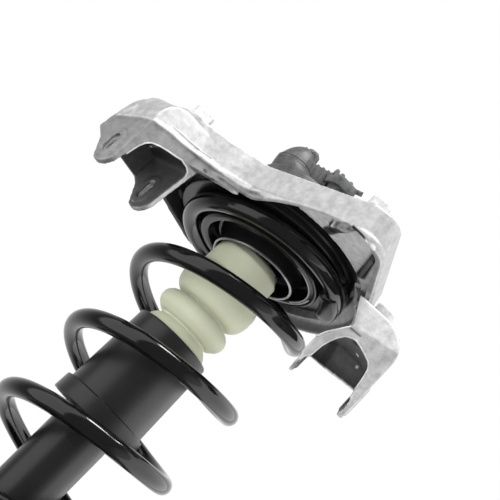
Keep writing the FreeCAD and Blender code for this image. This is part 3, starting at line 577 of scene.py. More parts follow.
@dataclass(frozen=True)
class Finish:
    """A surface with grain, mottling, worn edges and a little dust, with its lengths in metres."""

    name: str
    color: Spot
    roughness: float
    metallic: float = 0.0
    specular: float = 0.5
    mottling: float = 0.2
    grain_scale: float = 400.0
    broad_scale: float = 30.0
    grain_height: float = 0.00006
    uneven: float = 0.15
    worn: Spot = (0.3, 0.3, 0.3)
    wear: float = 0.0
    wear_radius: float = 0.0008
    dust: float = 0.05
    dust_color: Spot = (0.35, 0.34, 0.32)
    edge_round: float = 0.0
    subsurface: float = 0.0
    subsurface_reach: Spot = (0.004, 0.0035, 0.002)

    def build(self, kit: ShaderKit) -> bpy.types.Material:
        """Make the material.

        Args:
            kit: The shared shader groups.

        Returns:
            The node material.
        """
        material = bpy.data.materials.new(self.name)
        material.use_nodes = True
        sheet = Sheet(material.node_tree)
        grain = sheet.group(kit.grain, {"Scale": self.grain_scale, "Broad": self.broad_scale}).outputs
        shades = (1.0 - self.mottling, 1.0 + self.mottling)
        color = sheet.scaled(self.color, sheet.spread(grain["Mottle"], (0.3, 0.7), shades))
        if self.wear > 0.0:
            worn = sheet.group(kit.wear, {"Radius": self.wear_radius, "Amount": self.wear})
            color = sheet.mixed(color, self.worn, worn.outputs["Mask"])
        color = sheet.mixed(color, self.dust_color, sheet.group(kit.dust, {"Amount": self.dust}).outputs["Mask"])
        limits = (max(0.02, self.roughness - self.uneven), min(1.0, self.roughness + self.uneven))
        bump = sheet.add("Bump", {"Distance": self.grain_height, "Height": grain["Height"]})
        if self.edge_round > 0.0:
            sheet.feed(bump, {"Normal": sheet.add("Bevel", {"Radius": self.edge_round}, samples=6).outputs["Normal"]})
        shader = sheet.add("BsdfPrincipled", {
            "Base Color": self.extra(sheet, color), "Metallic": self.metallic, "Specular IOR Level": self.specular,
            "Roughness": sheet.spread(grain["Mottle"], (0.25, 0.75), limits), "Normal": bump.outputs["Normal"]})
        if self.subsurface > 0.0:
            sheet.feed(shader, {"Subsurface Weight": self.subsurface, "Subsurface Radius": self.subsurface_reach,
                                "Subsurface Scale": 1.0})
        sheet.add("OutputMaterial", {"Surface": shader.outputs["BSDF"]})
        return material

    def extra(self, sheet: Sheet, color: bpy.types.NodeSocket) -> bpy.types.NodeSocket:
        """Hook for a finish that adds its own colour step."""
        return color


@dataclass(frozen=True)
class CastFinish(Finish):
    """Cast skin whose colour is scaled by the tone that is written on the mesh, its painted light and shade."""

    def extra(self, sheet: Sheet, color: bpy.types.NodeSocket) -> bpy.types.NodeSocket:
        """Scale the colour by the mesh's tone of painted light and shade."""
        return sheet.scaled(color, sheet.add("Attribute", attribute_name="tone").outputs["Fac"])


class FinishBook:
    """Every finish of the part, made once and handed out by slot."""

    def __init__(self, kit: ShaderKit) -> None:
        """Build the materials.

        Args:
            kit: The shared shader groups.
        """
        finishes = {
            Slot.CAST: CastFinish("cast_alloy_skin", (0.45, 0.45, 0.455), 0.5, metallic=0.3, mottling=0.22,
                                  grain_scale=900.0, broad_scale=170.0, grain_height=0.00010, uneven=0.08,
                                  worn=(0.8, 0.8, 0.8), wear=0.5, wear_radius=0.0010, dust=0.03),
            Slot.STEEL: Finish("plain_steel_skin", (0.42, 0.42, 0.43), 0.35, metallic=1.0, wear=0.4, edge_round=0.0005),
            Slot.RUBBER: Finish("black_rubber_skin", (0.018, 0.018, 0.018), 0.6, specular=0.35, edge_round=0.0006),
            Slot.GLOSS: Finish("gloss_black_skin", (0.006, 0.006, 0.006), 0.24, specular=0.35, mottling=0.1,
                               grain_scale=500.0, grain_height=0.00001, uneven=0.05, dust=0.015, edge_round=0.0005),
            Slot.FOAM: Finish("cream_foam_skin", (0.60, 0.62, 0.47), 0.55, specular=0.35, mottling=0.05,
                              grain_scale=1400.0, broad_scale=25.0, grain_height=0.00004, dust=0.0, subsurface=0.35),
            Slot.DUST: Finish("dust_sleeve_skin", (0.010, 0.010, 0.010), 0.36, specular=0.5, mottling=0.15,
                              grain_scale=900.0, grain_height=0.00002, uneven=0.06, dust=0.02, edge_round=0.0005),
            Slot.COIL: Finish("coil_enamel", (0.004, 0.004, 0.004), 0.12, specular=0.5, mottling=0.1,
                              grain_scale=350.0, grain_height=0.00002, uneven=0.03, dust=0.008),
            Slot.COVER: Finish("cover_plastic_skin", (0.085, 0.086, 0.088), 0.48, specular=0.4, mottling=0.45,
                               broad_scale=140.0, wear=0.5, worn=(0.16, 0.16, 0.165), wear_radius=0.0009),
            Slot.ROD: Finish("rod_chrome_skin", (0.7, 0.7, 0.72), 0.08, metallic=1.0, mottling=0.03, uneven=0.02,
                             dust=0.0),
            Slot.BAND: Finish("band_plastic_skin", (0.05, 0.05, 0.055), 0.4, edge_round=0.0003),
            Slot.STRUT: Finish("strut_paint_skin", (0.009, 0.009, 0.009), 0.30, specular=0.5, mottling=0.12,
                               grain_scale=600.0, grain_height=0.00002, uneven=0.05, dust=0.02, edge_round=0.0006),
        }
        self._made = {slot: finish.build(kit) for slot, finish in finishes.items()}

    def dress(self, piece: bpy.types.Object, slot: Slot) -> None:
        """Give a piece the one material of its slot.

        Args:
            piece: The piece.
            slot: Its slot.
        """
        piece.data.materials.clear()
        piece.data.materials.append(self._made[slot])

    def dress_frame(self) -> None:
        """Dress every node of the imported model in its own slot's finish."""
        for row in frame["record"]["subparts"]:
            self.dress(frame["nodes"][row["node"]], Slot(row["material_slot"]))

    def fit(self, piece: bpy.types.Object, slot: Slot, node: str, body: Body = Body.UPPER) -> bpy.types.Object:
        """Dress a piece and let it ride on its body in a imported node's stead.

        Args:
            piece: The piece.
            slot: Its slot.
            node: Name of the node, or nothing for a piece that replaces none.
            body: The body.

        Returns:
            The piece.
        """
        self.dress(piece, slot)
        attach(piece, body.value)
        if node:
            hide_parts(node)
        return piece


# Sub-assemblies

@dataclass(frozen=True)
class CoilSpring:
    """Round wire wound between the two spring seats, in millimetres and degrees of the winding."""

    wire: float = 7.0
    radius: float = 63.0
    shift: float = 4.4
    lean: float = 4.3
    bottom_angle: float = -840.0
    foot_angle: float = -648.0
    head_angle: float = 720.0
    top_angle: float = 1072.0
    flat_end: float = -650.0
    flat_start: float = -500.0
    lift_start: float = 722.0
    lift_end: float = 808.0
    top_drop: float = 20.8
    pad_top: float = 137.0
    pad_low: float = 15.0
    seat: float = 0.3
    step: float = 3.0
    sides: int = 40
    shown: Band = Band(-510.0, -250.0, 540.0, 660.0)
    closer: float = 1.9
    side_lean: float = 1.7
    sag: float = 0.7
    end_caps: Profile = ((0.0, 0.55), (0.1, 0.8), (0.36, 0.93), (0.9, 0.99))

    def centre(self, angle: float) -> Vector:
        """Point of the wire's centreline.

        Args:
            angle: Angle of the winding.

        Returns:
            The point.
        """
        turn = math.radians(angle)
        x = self.shift + self.radius * math.cos(turn)
        y = self.radius * math.sin(turn)
        low = self.pad_top + self.wire + self.seat
        top = MOUNT.level(x, y, self.pad_low - self.wire - self.seat)
        climbed = (angle - self.foot_angle) / (self.head_angle - self.foot_angle)
        main = low + (MOUNT.height - self.top_drop - low) * climbed - y * math.tan(math.radians(self.lean))
        pitch = self.closer * (self.shown.last - angle) / 360 - self.side_lean * math.cos(turn) - self.sag
        main += self.shown.share(angle) * pitch
        height = low + (main - low) * ramp(angle, self.flat_end, self.flat_start)
        return Vector((x, y, height + (top - height) * ramp(angle, self.lift_start, self.lift_end)))

    def rings(self) -> list[list[Vector]]:
        """Rings of points along the wire, with rounded ends.

        Returns:
            The rings, in order.
        """
        count = int((self.top_angle - self.bottom_angle) / self.step)
        rows = []
        for index in range(count + 1):
            angle = self.bottom_angle + (self.top_angle - self.bottom_angle) * index / count
            run = (self.centre(angle + 0.5) - self.centre(angle - 0.5)).normalized()
            rows.append((self.centre(angle), run, self.wire))
        (foot, foot_run, _), (head, head_run, _) = rows[0], rows[-1]
        rows[:1] = [(foot + foot_run * along, foot_run, self.wire * size) for along, size in self.end_caps]
        rows[-1:] = [(head - head_run * along, head_run, self.wire * size) for along, size in reversed(self.end_caps)]
        return [wire_ring(centre, run, radius, self.sides) for centre, run, radius in rows]

    def build(self, book: FinishBook) -> Pieces:
        """Sweep the wire between the two seats.

        Args:
            book: The finishes.

        Returns:
            The wire.
        """
        piece = skin("coil_wire", self.rings())
        book.dress(piece, Slot.COIL)
        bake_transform(piece)
        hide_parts("coil_spring")
        return [piece]


@dataclass(frozen=True)
class ArmPocket:
    """A pocket for the end of an arm: its place in the plan, heading, drop and front's slope, in millimetres."""

    x: float
    y: float
    heading: float
    sink: float
    advance: float
    width: float = 42.0
    front: float = -24.0
    arch_back: float = -19.5
    back: float = 16.5
    roof: float = 0.5
    sill: float = -14.0
    bolt: Place = (-8.0, -26.5)
    land: Place = (8.6, 16.6)
    hole: Place = (4.6, 10.0)
    hole_drop: float = 1.2

    def spot(self, across: float, along: float, height: float) -> Vector:
        """Point of the part's frame from the pocket's own.

        Args:
            across: Place across the pocket.
            along: Depth in it.
            height: Height over its roof line.

        Returns:
            The point.
        """
        turn = math.radians(self.heading)
        x = self.x + across * math.cos(turn) - along * math.sin(turn)
        y = self.y + across * math.sin(turn) + along * math.cos(turn)
        return Vector((x, y, MOUNT.height - self.sink + height))

    def plate(self, name: str, outline: Profile, near: float, deep: float, rise: float = 0.0) -> bpy.types.Object:
        """Plate with an upright outline, between two depths of the pocket.

        Args:
            name: Name of the new object.
            outline: Corners as places across and heights.
            near: Depth of its front, where the pocket's left side is.
            deep: Depth of its back.
            rise: Climb of the outline for each millimetre of depth.

        Returns:
            The solid plate.
        """
        slope = self.advance / self.width
        return skin(name, [[self.spot(a, along - a * slope, h + rise * (along - self.front)) for a, h in outline]
                           for along in (near, deep)])

    def edge_line(self, outline: Profile, ahead: float = 0.2) -> list[Spot]:
        """Points just in front of an outline on the pocket's front face."""
        slope = self.advance / self.width
        return [tuple(self.spot(a, self.front - ahead - a * slope, h)) for a, h in outline]

    def oval(self, across: float, size: Place, lower: float = 0.0, steps: int = 10) -> list[Vector]:
        """Upright oval round the bolt slot.

        Args:
            across: Place across the pocket.
            size: Its width and length.
            lower: How far it lies under the slot's middle.
            steps: Steps of each half circle.

        Returns:
            Its points.
        """
        width, length = size
        spots = []
        for lift, start in (((length - width) / 2, 0.0), ((width - length) / 2, 180.0)):
            for a, h in arc_spots(width / 2, start, start + 180.0, steps):
                spots.append(self.spot(across, self.bolt[0] + a, self.bolt[1] - lower + lift + h))
        return spots

    def slot_liner(self, name: str, near: float, far: float) -> bpy.types.Object:
        """Raised land that narrows the bolt slot, between two places across the pocket."""
        holes = [self.oval(across, self.hole, self.hole_drop) for across in (far, near)]
        return skin(name, [self.oval(near, self.land), self.oval(far, self.land), *holes], closed=True)

    def shade(self, spots: np.ndarray, normals: np.ndarray) -> np.ndarray:
        """Share of painted pocket shade at each point of the casting.

        Args:
            spots: Points in millimetres.
            normals: Their normals.

        Returns:
            Numbers from 0 outside to 1 inside.
        """
        turn = math.radians(self.heading)
        dx, dy = spots[:, 0] - self.x, spots[:, 1] - self.y
        across = dx * math.cos(turn) + dy * math.sin(turn)
        along = dy * math.cos(turn) - dx * math.sin(turn)
        height = spots[:, 2] - (MOUNT.height - self.sink)
        inside = Band(-1.3, -0.5, self.width + 0.5, self.width + 1.3).share(across)
        inside *= ramp(along + across * self.advance / self.width, self.front + 1.2, self.front + 2.6)
        inside *= ramp(along, self.back + 1.6, self.back + 0.8) * ramp(height, self.roof + 1.6, self.roof + 0.8)
        return inside * (1.0 - ramp(-normals[:, 2], 0.45, 0.75) * ramp(height, self.sill, self.sill - 2.0))


class RightPlate(NamedTuple):
    """Plate cast on inside the right pocket: its name, upright outline and two depths."""

    name: str
    outline: Profile
    near: float
    deep: float


@dataclass(frozen=True)
class CastBracket:
    """The top bracket's casting, with its rounded edges, in millimetres.

    Outlines of the pockets are places across and heights in the pocket. Those of the corner, the cove and the gussets
    are in the top mount's frame. The ridges and the skin's marks are in the part's own.
    """

    voxel: float = 0.8
    rounds: int = 6
    scan_weld: float = 0.002
    left: ArmPocket = ArmPocket(-127.0, -65.0, 37.7, 0.0, 7.0)
    right: ArmPocket = ArmPocket(72.0, -56.0, -6.9, 5.0, 0.0)
    ridge: tuple[Spot, ...] = (
        (-138.7, -57.2, 423.9), (-135.1, -61.9, 425.8), (-127.1, -72.2, 429.0), (-119.0, -82.8, 431.2),
        (-114.8, -86.4, 432.2), (-110.3, -83.8, 433.5), (-103.7, -79.9, 436.1), (-96.0, -75.5, 437.8),
        (-87.6, -70.7, 439.9), (-77.9, -66.2, 442.8), (-67.8, -66.2, 444.5), (-55.8, -67.3, 446.1),
        (-44.2, -69.7, 447.7), (-37.0, -72.4, 449.8), (-31.0, -76.5, 452.2))
    second_ridge: tuple[Spot, ...] = (
        (-104.0, -77.6, 440.2), (-98.5, -75.0, 442.3), (-89.7, -70.1, 444.1), (-81.2, -65.2, 446.2),
        (-71.0, -64.3, 447.6))
    left_arch: Profile = (
        (-3.0, -31.0), (0.0, -31.0), (0.7, -27.0), (1.6, -21.4), (2.5, -16.7), (4.2, -12.3), (6.7, -9.0),
        (9.6, -7.2), (13.5, -5.2), (19.6, -3.0), (27.2, -0.7), (31.0, 0.8), (31.0, 4.0), (-3.0, 4.0))
    turned_edge: Profile = ((37.0, 0.5), (40.6, -1.0), (42.0, -4.5), (42.0, -27.0))
    right_arch: Profile = (
        (-3.0, -31.0), (1.8, -31.0), (2.3, -28.9), (2.8, -24.0), (3.4, -18.7), (5.0, -12.8), (7.2, -7.7),
        (10.5, -2.8), (14.9, -0.4), (17.8, 0.2), (21.9, -0.8), (27.2, -2.4), (33.1, -4.8), (35.3, -6.9),
        (36.6, -9.3), (37.7, -13.9), (38.5, -18.8), (39.3, -25.0), (40.5, -31.0), (45.0, -31.0), (45.0, 4.0),
        (8.0, 4.0), (3.5, -2.7), (-1.0, -9.6), (-4.0, -17.1), (-4.0, -31.0))
    hood_side: Profile = (
        (-30.0, -50.0), (-2.6, -50.0), (-2.8, -24.3), (-4.0, -17.1), (-1.0, -9.6), (3.5, -2.7), (8.6, 5.0), (8.6, 8.4),
        (4.5, 14.9), (-0.5, 23.6), (-3.1, 28.9), (-30.0, 28.9))
    hood_depths: Place = (-40.0, 26.0)
    hood_rise: float = 0.262
    back_sill: Profile = ((-0.4, -60.0), (42.4, -60.0), (42.4, -16.6), (36.0, -17.0), (0.0, -21.3), (-0.4, -21.3))
    sill_depths: Place = (14.0, 24.0)
    right_plates: tuple[RightPlate, ...] = (
        RightPlate("roof_back", ((6.0, 0.7), (36.0, 0.7), (36.0, 5.0), (6.0, 5.0)), 12.0, 21.0),
        RightPlate("back_top", ((4.0, -5.0), (38.0, -5.0), (38.0, 5.0), (4.0, 5.0)), 17.0, 21.3))
    corner_room: Profile = (
        *arc_spots(72.0, -92.0, -16.0), (84.0, -22.0), (80.0, -38.0), (62.0, -106.0), (56.0, -114.0), (45.0, -118.5),
        (34.0, -113.0), (10.0, -97.5), (-3.0, -88.5))
    room_levels: Place = (2.0, 30.9)
    shelf: Profile = (
        *arc_spots(84.0, -90.5, -16.0), (86.0, -22.0), (83.0, -36.0), (64.0, -108.0), (57.0, -117.0), (45.0, -121.5),
        (35.0, -116.5), (10.0, -100.5), (-3.0, -91.0))
    shelf_levels: Place = (20.0, 24.0)
    gussets: tuple[tuple[tuple[Spot, ...], ...], ...] = (
        (((23.6, -81.0, 21.0), (25.6, -81.0, 21.0), (25.6, -81.5, 19.7), (23.6, -81.5, 19.7)),
         ((22.6, -97.0, 21.0), (30.0, -98.0, 21.0), (30.0, -98.0, 16.5), (22.6, -97.0, 16.5)),
         ((22.0, -108.0, 21.0), (34.5, -117.0, 21.0), (34.5, -117.0, 12.0), (22.0, -108.0, 12.0))),
        (((62.5, -58.0, 21.0), (66.0, -59.0, 21.0), (66.0, -60.0, 18.0), (62.5, -59.0, 18.0)),
         ((56.5, -104.0, 21.0), (60.5, -105.0, 21.0), (60.5, -104.0, 12.0), (56.5, -103.0, 12.0))))
    cove_turn: Place = (-30.0, 62.0)
    cove_room: Profile = ((76.0, 0.0), (86.2, 0.0), (86.2, 13.5), (82.0, 18.0), (76.0, 22.5))
    cove: Profile = ((77.0, 24.0), (78.0, 20.8), (82.0, 17.6), (85.2, 14.0), (86.4, 10.0), (86.6, 5.0), (89.4, 5.0),
                     (89.4, 24.0))
    ears: tuple[tuple[float, float, float], ...] = ((-5.2, -3.6, -1.6), (41.3, 43.6, 45.6))
    right_ears: tuple[tuple[float, float, float], ...] = ((-2.6, -2.2, -0.6), (41.3, 43.6, 45.6))
    ear_oval: Place = (14.5, 22.0)
    bosses: tuple[Spot, ...] = ((-98.0, -54.0, 463.4), (33.0, -107.0, 490.2), (90.9, -58.3, 454.0))
    boss_edge: Place = (10.2, 9.2)
    # Painted shade in dark gaps (tones below 1) and painted highlights on glints (tones above 1), in the part's frame.
    painted_marks: tuple[Mark, ...] = (
        Mark((30.5, -117.5, 468.6), (38.5, -120.0, 467.9), 1.9, 0.04),
        Mark((42.0, -120.0, 467.3), (48.0, -121.7, 466.9), 1.8, 2.2),
        Mark((-68.9, -65.8, 438.2), (-62.7, -63.1, 437.0), 0.9, 0.25),
        Mark((-62.7, -63.1, 437.0), (-60.2, -65.0, 438.0), 0.9, 0.25),
        Mark((78.4, -80.9, 429.0), (86.4, -81.9, 429.3), 0.5, 0.15),
        Mark((88.5, -73.5, 425.5), (92.5, -78.0, 425.5), 2.4, 0.1),
        Mark((96.8, -55.8, 425.5), (104.7, -43.3, 421.9), 0.8, 6.0),
        Mark((-77.8, 30.9, 438.1), (-73.8, 35.1, 437.3), 1.4, 8.0),
        Mark((-114.7, -15.2, 430.5), (-109.9, -35.6, 430.5), 0.7, 7.0),
        Mark((-109.9, -35.6, 430.5), (-103.8, -54.0, 430.5), 0.7, 7.0),
        Mark((-137.5, -58.7, 425.6), (-134.2, -62.8, 437.0), 1.6, 1.25),
        Mark((-134.2, -62.8, 437.0), (-130.6, -67.6, 427.7), 1.6, 1.2))
    mark_fade: float = 0.6
    ridge_reach: Place = (6.5, 4.0)
    ridge_shade: float = 0.45
    left_shade: float = 0.86
    right_shade: float = 0.93
    right_roof: Place = (402.0, 424.0)
    right_roof_light: float = 0.3
    outer_edge: Place = (0.03, 0.12)
    outer_light: float = 0.22
    inner_corner: Place = (0.02, 0.09)
    inner_shade: float = 0.45
    near_wall: Band = Band(-122.0, -100.0, -60.0, -34.0)
    near_wall_light: float = 0.25
    boss_light: float = 0.55
    # Painted shade in the room under the corner, along and below the gussets, in the mount's frame.
    room_shadow_marks: tuple[Mark, ...] = (
        Mark((24.8, -84.5, 19.0), (28.5, -97.0, 17.0), 4.0, 0.13),
        Mark((26.0, -97.0, 17.0), (28.5, -106.0, 15.0), 5.5, 0.12),
        Mark((33.0, -101.0, 19.0), (38.0, -118.0, 18.5), 1.6, 0.25),
        Mark((28.0, -108.0, 14.0), (30.0, -117.0, 12.0), 5.0, 0.45),
        Mark((64.5, -60.0, 18.0), (59.0, -103.0, 14.0), 4.2, 0.14))
    room_mark_fade: float = 0.8
    corner_middle: Place = (35.0, -75.0)
    corner_headings: Band = Band(-108.0, -102.0, -15.0, -11.0)
    wall_levels: Band = Band(9.8, 11.2, 20.0, 21.0)
    wall_shade: float = 0.84
    ceiling_levels: Band = Band(18.6, 19.6, 21.5, 23.0)
    ceiling_light: float = 0.25
    flange_shade: float = 0.5
    cove_headings: Band = Band(-34.0, -31.0, 62.0, 66.0)
    cove_edge: Band = Band(84.5, 86.5, 90.5, 92.0)
    cove_edge_shade: float = 0.45
    cove_wall: Band = Band(75.0, 77.0, 86.0, 88.0)
    cove_levels: Band = Band(12.0, 13.5, 22.6, 23.9)
    cove_wall_light: float = 0.3
    web_shade: float = 0.92

    def shell(self) -> bpy.types.Object:
        """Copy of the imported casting, welded.

        Returns:
            The copy.
        """
        mesh = frame["nodes"]["bearing_bracket"].data.copy()
        mesh.name = "bracket_casting"
        weld(mesh, self.scan_weld * MM, outward=False)
        return linked(mesh.name, mesh)

    def hollows(self) -> Pieces:
        """Solids that are cut from the shell.

        Returns:
            Room under the corner and in the cove, the hood's side and the right pocket's back sill.
        """
        lay = MOUNT.lay()
        return [prism("corner_room", self.corner_room, *self.room_levels, lay),
                lathe("cove_room", self.cove_room, lay, 24, *self.cove_turn),
                self.right.plate("hood_side", self.hood_side, *self.hood_depths, rise=self.hood_rise),
                self.right.plate("back_sill", self.back_sill, *self.sill_depths)]

    def additions(self) -> Pieces:
        """Solids that are cast on.

        Returns:
            The arches, the corner's shelf, the cove under the dish, the gussets, the right pocket's plates and
            the ridge.
        """
        lay = MOUNT.lay()
        adds = [pocket.plate("arch", outline, pocket.front, pocket.arch_back)
                for pocket, outline in ((self.left, self.left_arch), (self.right, self.right_arch))]
        adds.append(prism("corner_shelf", self.shelf, *self.shelf_levels, lay))
        adds.append(lathe("cove", self.cove, lay, 24, *self.cove_turn))
        adds += [skin("gusset", [[lay @ Vector(spot) for spot in ring] for ring in rings]) for rings in self.gussets]
        adds += [self.right.plate(*plate) for plate in self.right_plates]
        return adds + [bead("ridge", self.ridge, 1.3)]

    def cast(self, piece: bpy.types.Object) -> None:
        """Cut the hollows, then melt the rest and the additions into one skin with evenly rounded edges.

        Args:
            piece: The shell.
        """
        cutters = self.hollows()
        for cutter in cutters:
            tool = piece.modifiers.new(cutter.name, "BOOLEAN")
            tool.operation, tool.solver, tool.object = "DIFFERENCE", "EXACT", cutter
        bake(piece)
        for cutter in cutters:
            drop(cutter)
        join(piece, self.additions())
        remesh = piece.modifiers.new("skin", "REMESH")
        remesh.mode, remesh.voxel_size = "VOXEL", self.voxel * MM
        ease = piece.modifiers.new("ease", "SMOOTH")
        ease.factor, ease.iterations = 0.5, self.rounds
        bake(piece)
        piece.data.shade_smooth()

    def trims(self) -> list[tuple[bpy.types.Object, float]]:
        """Fine raised lines and slot lands that are laid on the finished skin.

        Returns:
            Each with its tone, above 1 for a painted highlight and below 1 for painted shade.
        """
        left, right = self.left, self.right
        made = [(bead("arch_line", left.edge_line([*self.left_arch[2:12], *self.turned_edge]), 0.6), 1.35),
                (bead("second_ridge", self.second_ridge, 0.8), 1.3),
                (bead("right_arch_line", right.edge_line(self.right_arch[2:18]), 0.5), 1.25),
                (bead("hood_line", right.edge_line(self.hood_side[3:7]), 0.6), 1.3)]
        for pocket, ears in ((left, self.ears), (right, self.right_ears)):
            for across, near, far in ears:
                line = pocket.oval(across, self.ear_oval)
                # The lands take painted shade, the left ear's line a painted highlight and the right ear's line painted
                # shade.
                made.append((pocket.slot_liner("ear_land", near, far), 0.6))
                made.append((bead("ear_line", [*line, line[0]], 0.45), 1.2 if across < 0 else 0.45))
        return made

    def relief(self, piece: bpy.types.Object, spots: np.ndarray, normals: np.ndarray, rounds: int = 3) -> np.ndarray:
        """How sharply the skin bulges or dips at each point.

        Args:
            piece: The skin.
            spots: Its points in millimetres.
            normals: Their normals.
            rounds: How often the result is averaged with its neighbours.

        Returns:
            Numbers per millimetre, above 0 on outer edges and below 0 in inner corners.
        """
        ends = np.zeros(len(piece.data.edges) * 2, dtype=np.int32)
        piece.data.edges.foreach_get("vertices", ends)
        first, second = ends[0::2], ends[1::2]
        total = len(spots)
        count = np.maximum(np.bincount(ends, minlength=total), 1)

        def around(values: np.ndarray) -> np.ndarray:
            """Mean of each point's neighbours."""
            reach = np.bincount(first, weights=values[second], minlength=total)
            return (reach + np.bincount(second, weights=values[first], minlength=total)) / count

        bend = np.zeros(total)
        for axis in range(3):
            bend -= (around(spots[:, axis]) - spots[:, axis]) * normals[:, axis]
        bend /= self.voxel ** 2
        for _ in range(rounds):
            bend = (bend + around(bend)) / 2
        return bend

    def shadows(self, spots: np.ndarray, normals: np.ndarray) -> np.ndarray:
        """Painted shade and light in the corner, under the dish's flange, in the cove and on the web behind the left
        pocket.

        Args:
            spots: Points in millimetres.
            normals: Their normals.

        Returns:
            A factor for each point.
        """
        lay = MOUNT.lay()
        turn = np.array(lay.to_3x3())
        local = (spots - np.array(lay.translation)) @ turn
        facing = normals @ turn
        x, y, level = local.T
        out = np.hypot(x, y)
        heading = np.degrees(np.arctan2(y, x))
        middle_x, middle_y = x - self.corner_middle[0], y - self.corner_middle[1]
        away = (facing[:, 0] * middle_x + facing[:, 1] * middle_y) / np.maximum(np.hypot(middle_x, middle_y), 1e-6)
        down = ramp(-facing[:, 2], 0.5, 0.8)

        corner = self.corner_headings.share(heading) * ramp(out, 72.5, 74.0)
        upright = ramp(np.abs(facing[:, 2]), 0.75, 0.45)
        walls = self.wall_levels.share(level) * ramp(away, 0.35, 0.1) * upright
        ceiling = self.ceiling_levels.share(level) * down
        flange = ramp(level, 12.0, 10.6) * ramp(out, 84.5, 87.0) * ramp(-heading, 40.0, 46.0) * down
        cove = self.cove_headings.share(heading)
        cove_edge = self.cove_edge.share(out) * ramp(level, 13.8, 12.4)
        cove_wall = self.cove_wall.share(out) * self.cove_levels.share(level)
        web = ramp(spots[:, 0], -38.0, -46.0) * ramp(spots[:, 1], -26.0, -18.0) * ramp(spots[:, 2], 452.0, 446.0)
        # Painted shade on the corner's walls, the flange, the cove's edge and the web, and painted light on the
        # corner's ceiling and the cove's wall.
        factor = (1.0 - self.wall_shade * corner * walls) * (1.0 + self.ceiling_light * corner * ceiling)
        factor *= 1.0 - self.flange_shade * flange
        factor *= (1.0 - self.cove_edge_shade * cove * cove_edge) * (1.0 + self.cove_wall_light * cove * cove_wall)
        for mark in self.room_shadow_marks:
            factor *= mark.factor(local, self.room_mark_fade)
        return factor * (1.0 - self.web_shade * web * ramp(normals[:, 1], 0.4, 0.1))

    def painted_ridge_shade(self, spots: np.ndarray) -> np.ndarray:
        """Share of painted shade in the band under the ridge, on the left ear and the near wall.

        Args:
            spots: Points in millimetres.

        Returns:
            Numbers from 0 to 1.
        """
        line = np.array(self.ridge)
        steps = np.linspace(0, 1, 8)[:, None]
        fine = np.concatenate([start + (end - start) * steps for start, end in zip(line, line[1:])])
        near = np.full(len(spots), np.inf)
        height = np.zeros(len(spots))
        for x, y, level in fine:
            away = np.hypot(spots[:, 0] - x, spots[:, 1] - y)
            height[away < near] = level
            near = np.minimum(near, away)
        band = ramp(near, *self.ridge_reach) * ramp(spots[:, 2] - height, -0.2, -1.4)
        turn = math.radians(self.left.heading)
        across = (spots[:, 0] - self.left.x) * math.cos(turn) + (spots[:, 1] - self.left.y) * math.sin(turn)
        return np.maximum(band, ramp(across, -1.5, -2.5) * ramp(spots[:, 2], 425.0, 422.5))

    def painted_light_and_shade(self, piece: bpy.types.Object) -> np.ndarray:
        """Painted light and shade on the skin: painted shade under the ridge, in the pockets, corners and cove, painted
        highlights on outer edges, the near wall and boss tops, and painted spots of both.

        Args:
            piece: The skin.

        Returns:
            A factor for each of its points.
        """
        count = len(piece.data.vertices)
        spots, normals = np.zeros(count * 3), np.zeros(count * 3)
        piece.data.vertices.foreach_get("co", spots)
        piece.data.vertex_normals.foreach_get("vector", normals)
        spots = spots.reshape(-1, 3) / MM
        normals = normals.reshape(-1, 3)
        bend = self.relief(piece, spots, normals)
        # Share of the near wall's face that takes painted light.
        near_wall = self.near_wall.share(spots[:, 0]) * ramp(-normals[:, 1], 0.3, 0.6)
        right_shade = self.right_shade - self.right_roof_light * ramp(spots[:, 2], *self.right_roof)

        values = self.shadows(spots, normals)
        # Painted shade in the band under the ridge.
        values *= 1.0 - self.ridge_shade * self.painted_ridge_shade(spots)
        # Painted shade in both pockets, the right one eased by painted light towards its roof.
        values *= 1.0 - self.left_shade * self.left.shade(spots, normals)
        values *= 1.0 - right_shade * self.right.shade(spots, normals)
        # Painted highlights on outer edges and painted shade in inner corners.
        outer, inner = ramp(bend, *self.outer_edge), ramp(-bend, *self.inner_corner)
        values *= 1.0 + self.outer_light * outer - self.inner_shade * inner
        values *= 1.0 + self.near_wall_light * near_wall
        # Painted highlights on the bosses' tops.
        for x, y, deck in self.bosses:
            away = np.hypot(spots[:, 0] - x, spots[:, 1] - y)
            values *= 1.0 + self.boss_light * ramp(away, *self.boss_edge) * ramp(spots[:, 2], deck, deck + 1.0)
        # Painted shade and painted highlights at single spots of the skin.
        for mark in self.painted_marks:
            values *= mark.factor(spots, self.mark_fade)
        return values

    def build(self, book: FinishBook) -> Pieces:
        """Make the casting and write its painted light and shade on it.

        Args:
            book: The finishes.

        Returns:
            The casting.
        """
        piece = self.shell()
        self.cast(piece)
        trims = self.trims()
        values = [self.painted_light_and_shade(piece)] + [np.full(len(trim.data.vertices), tone) for trim, tone in trims]
        join(piece, [trim for trim, _ in trims])
        layer = piece.data.attributes.new("tone", "FLOAT", "POINT")
        layer.data.foreach_set("value", np.concatenate(values).astype(np.float32))
        return [book.fit(piece, Slot.CAST, "bearing_bracket")]


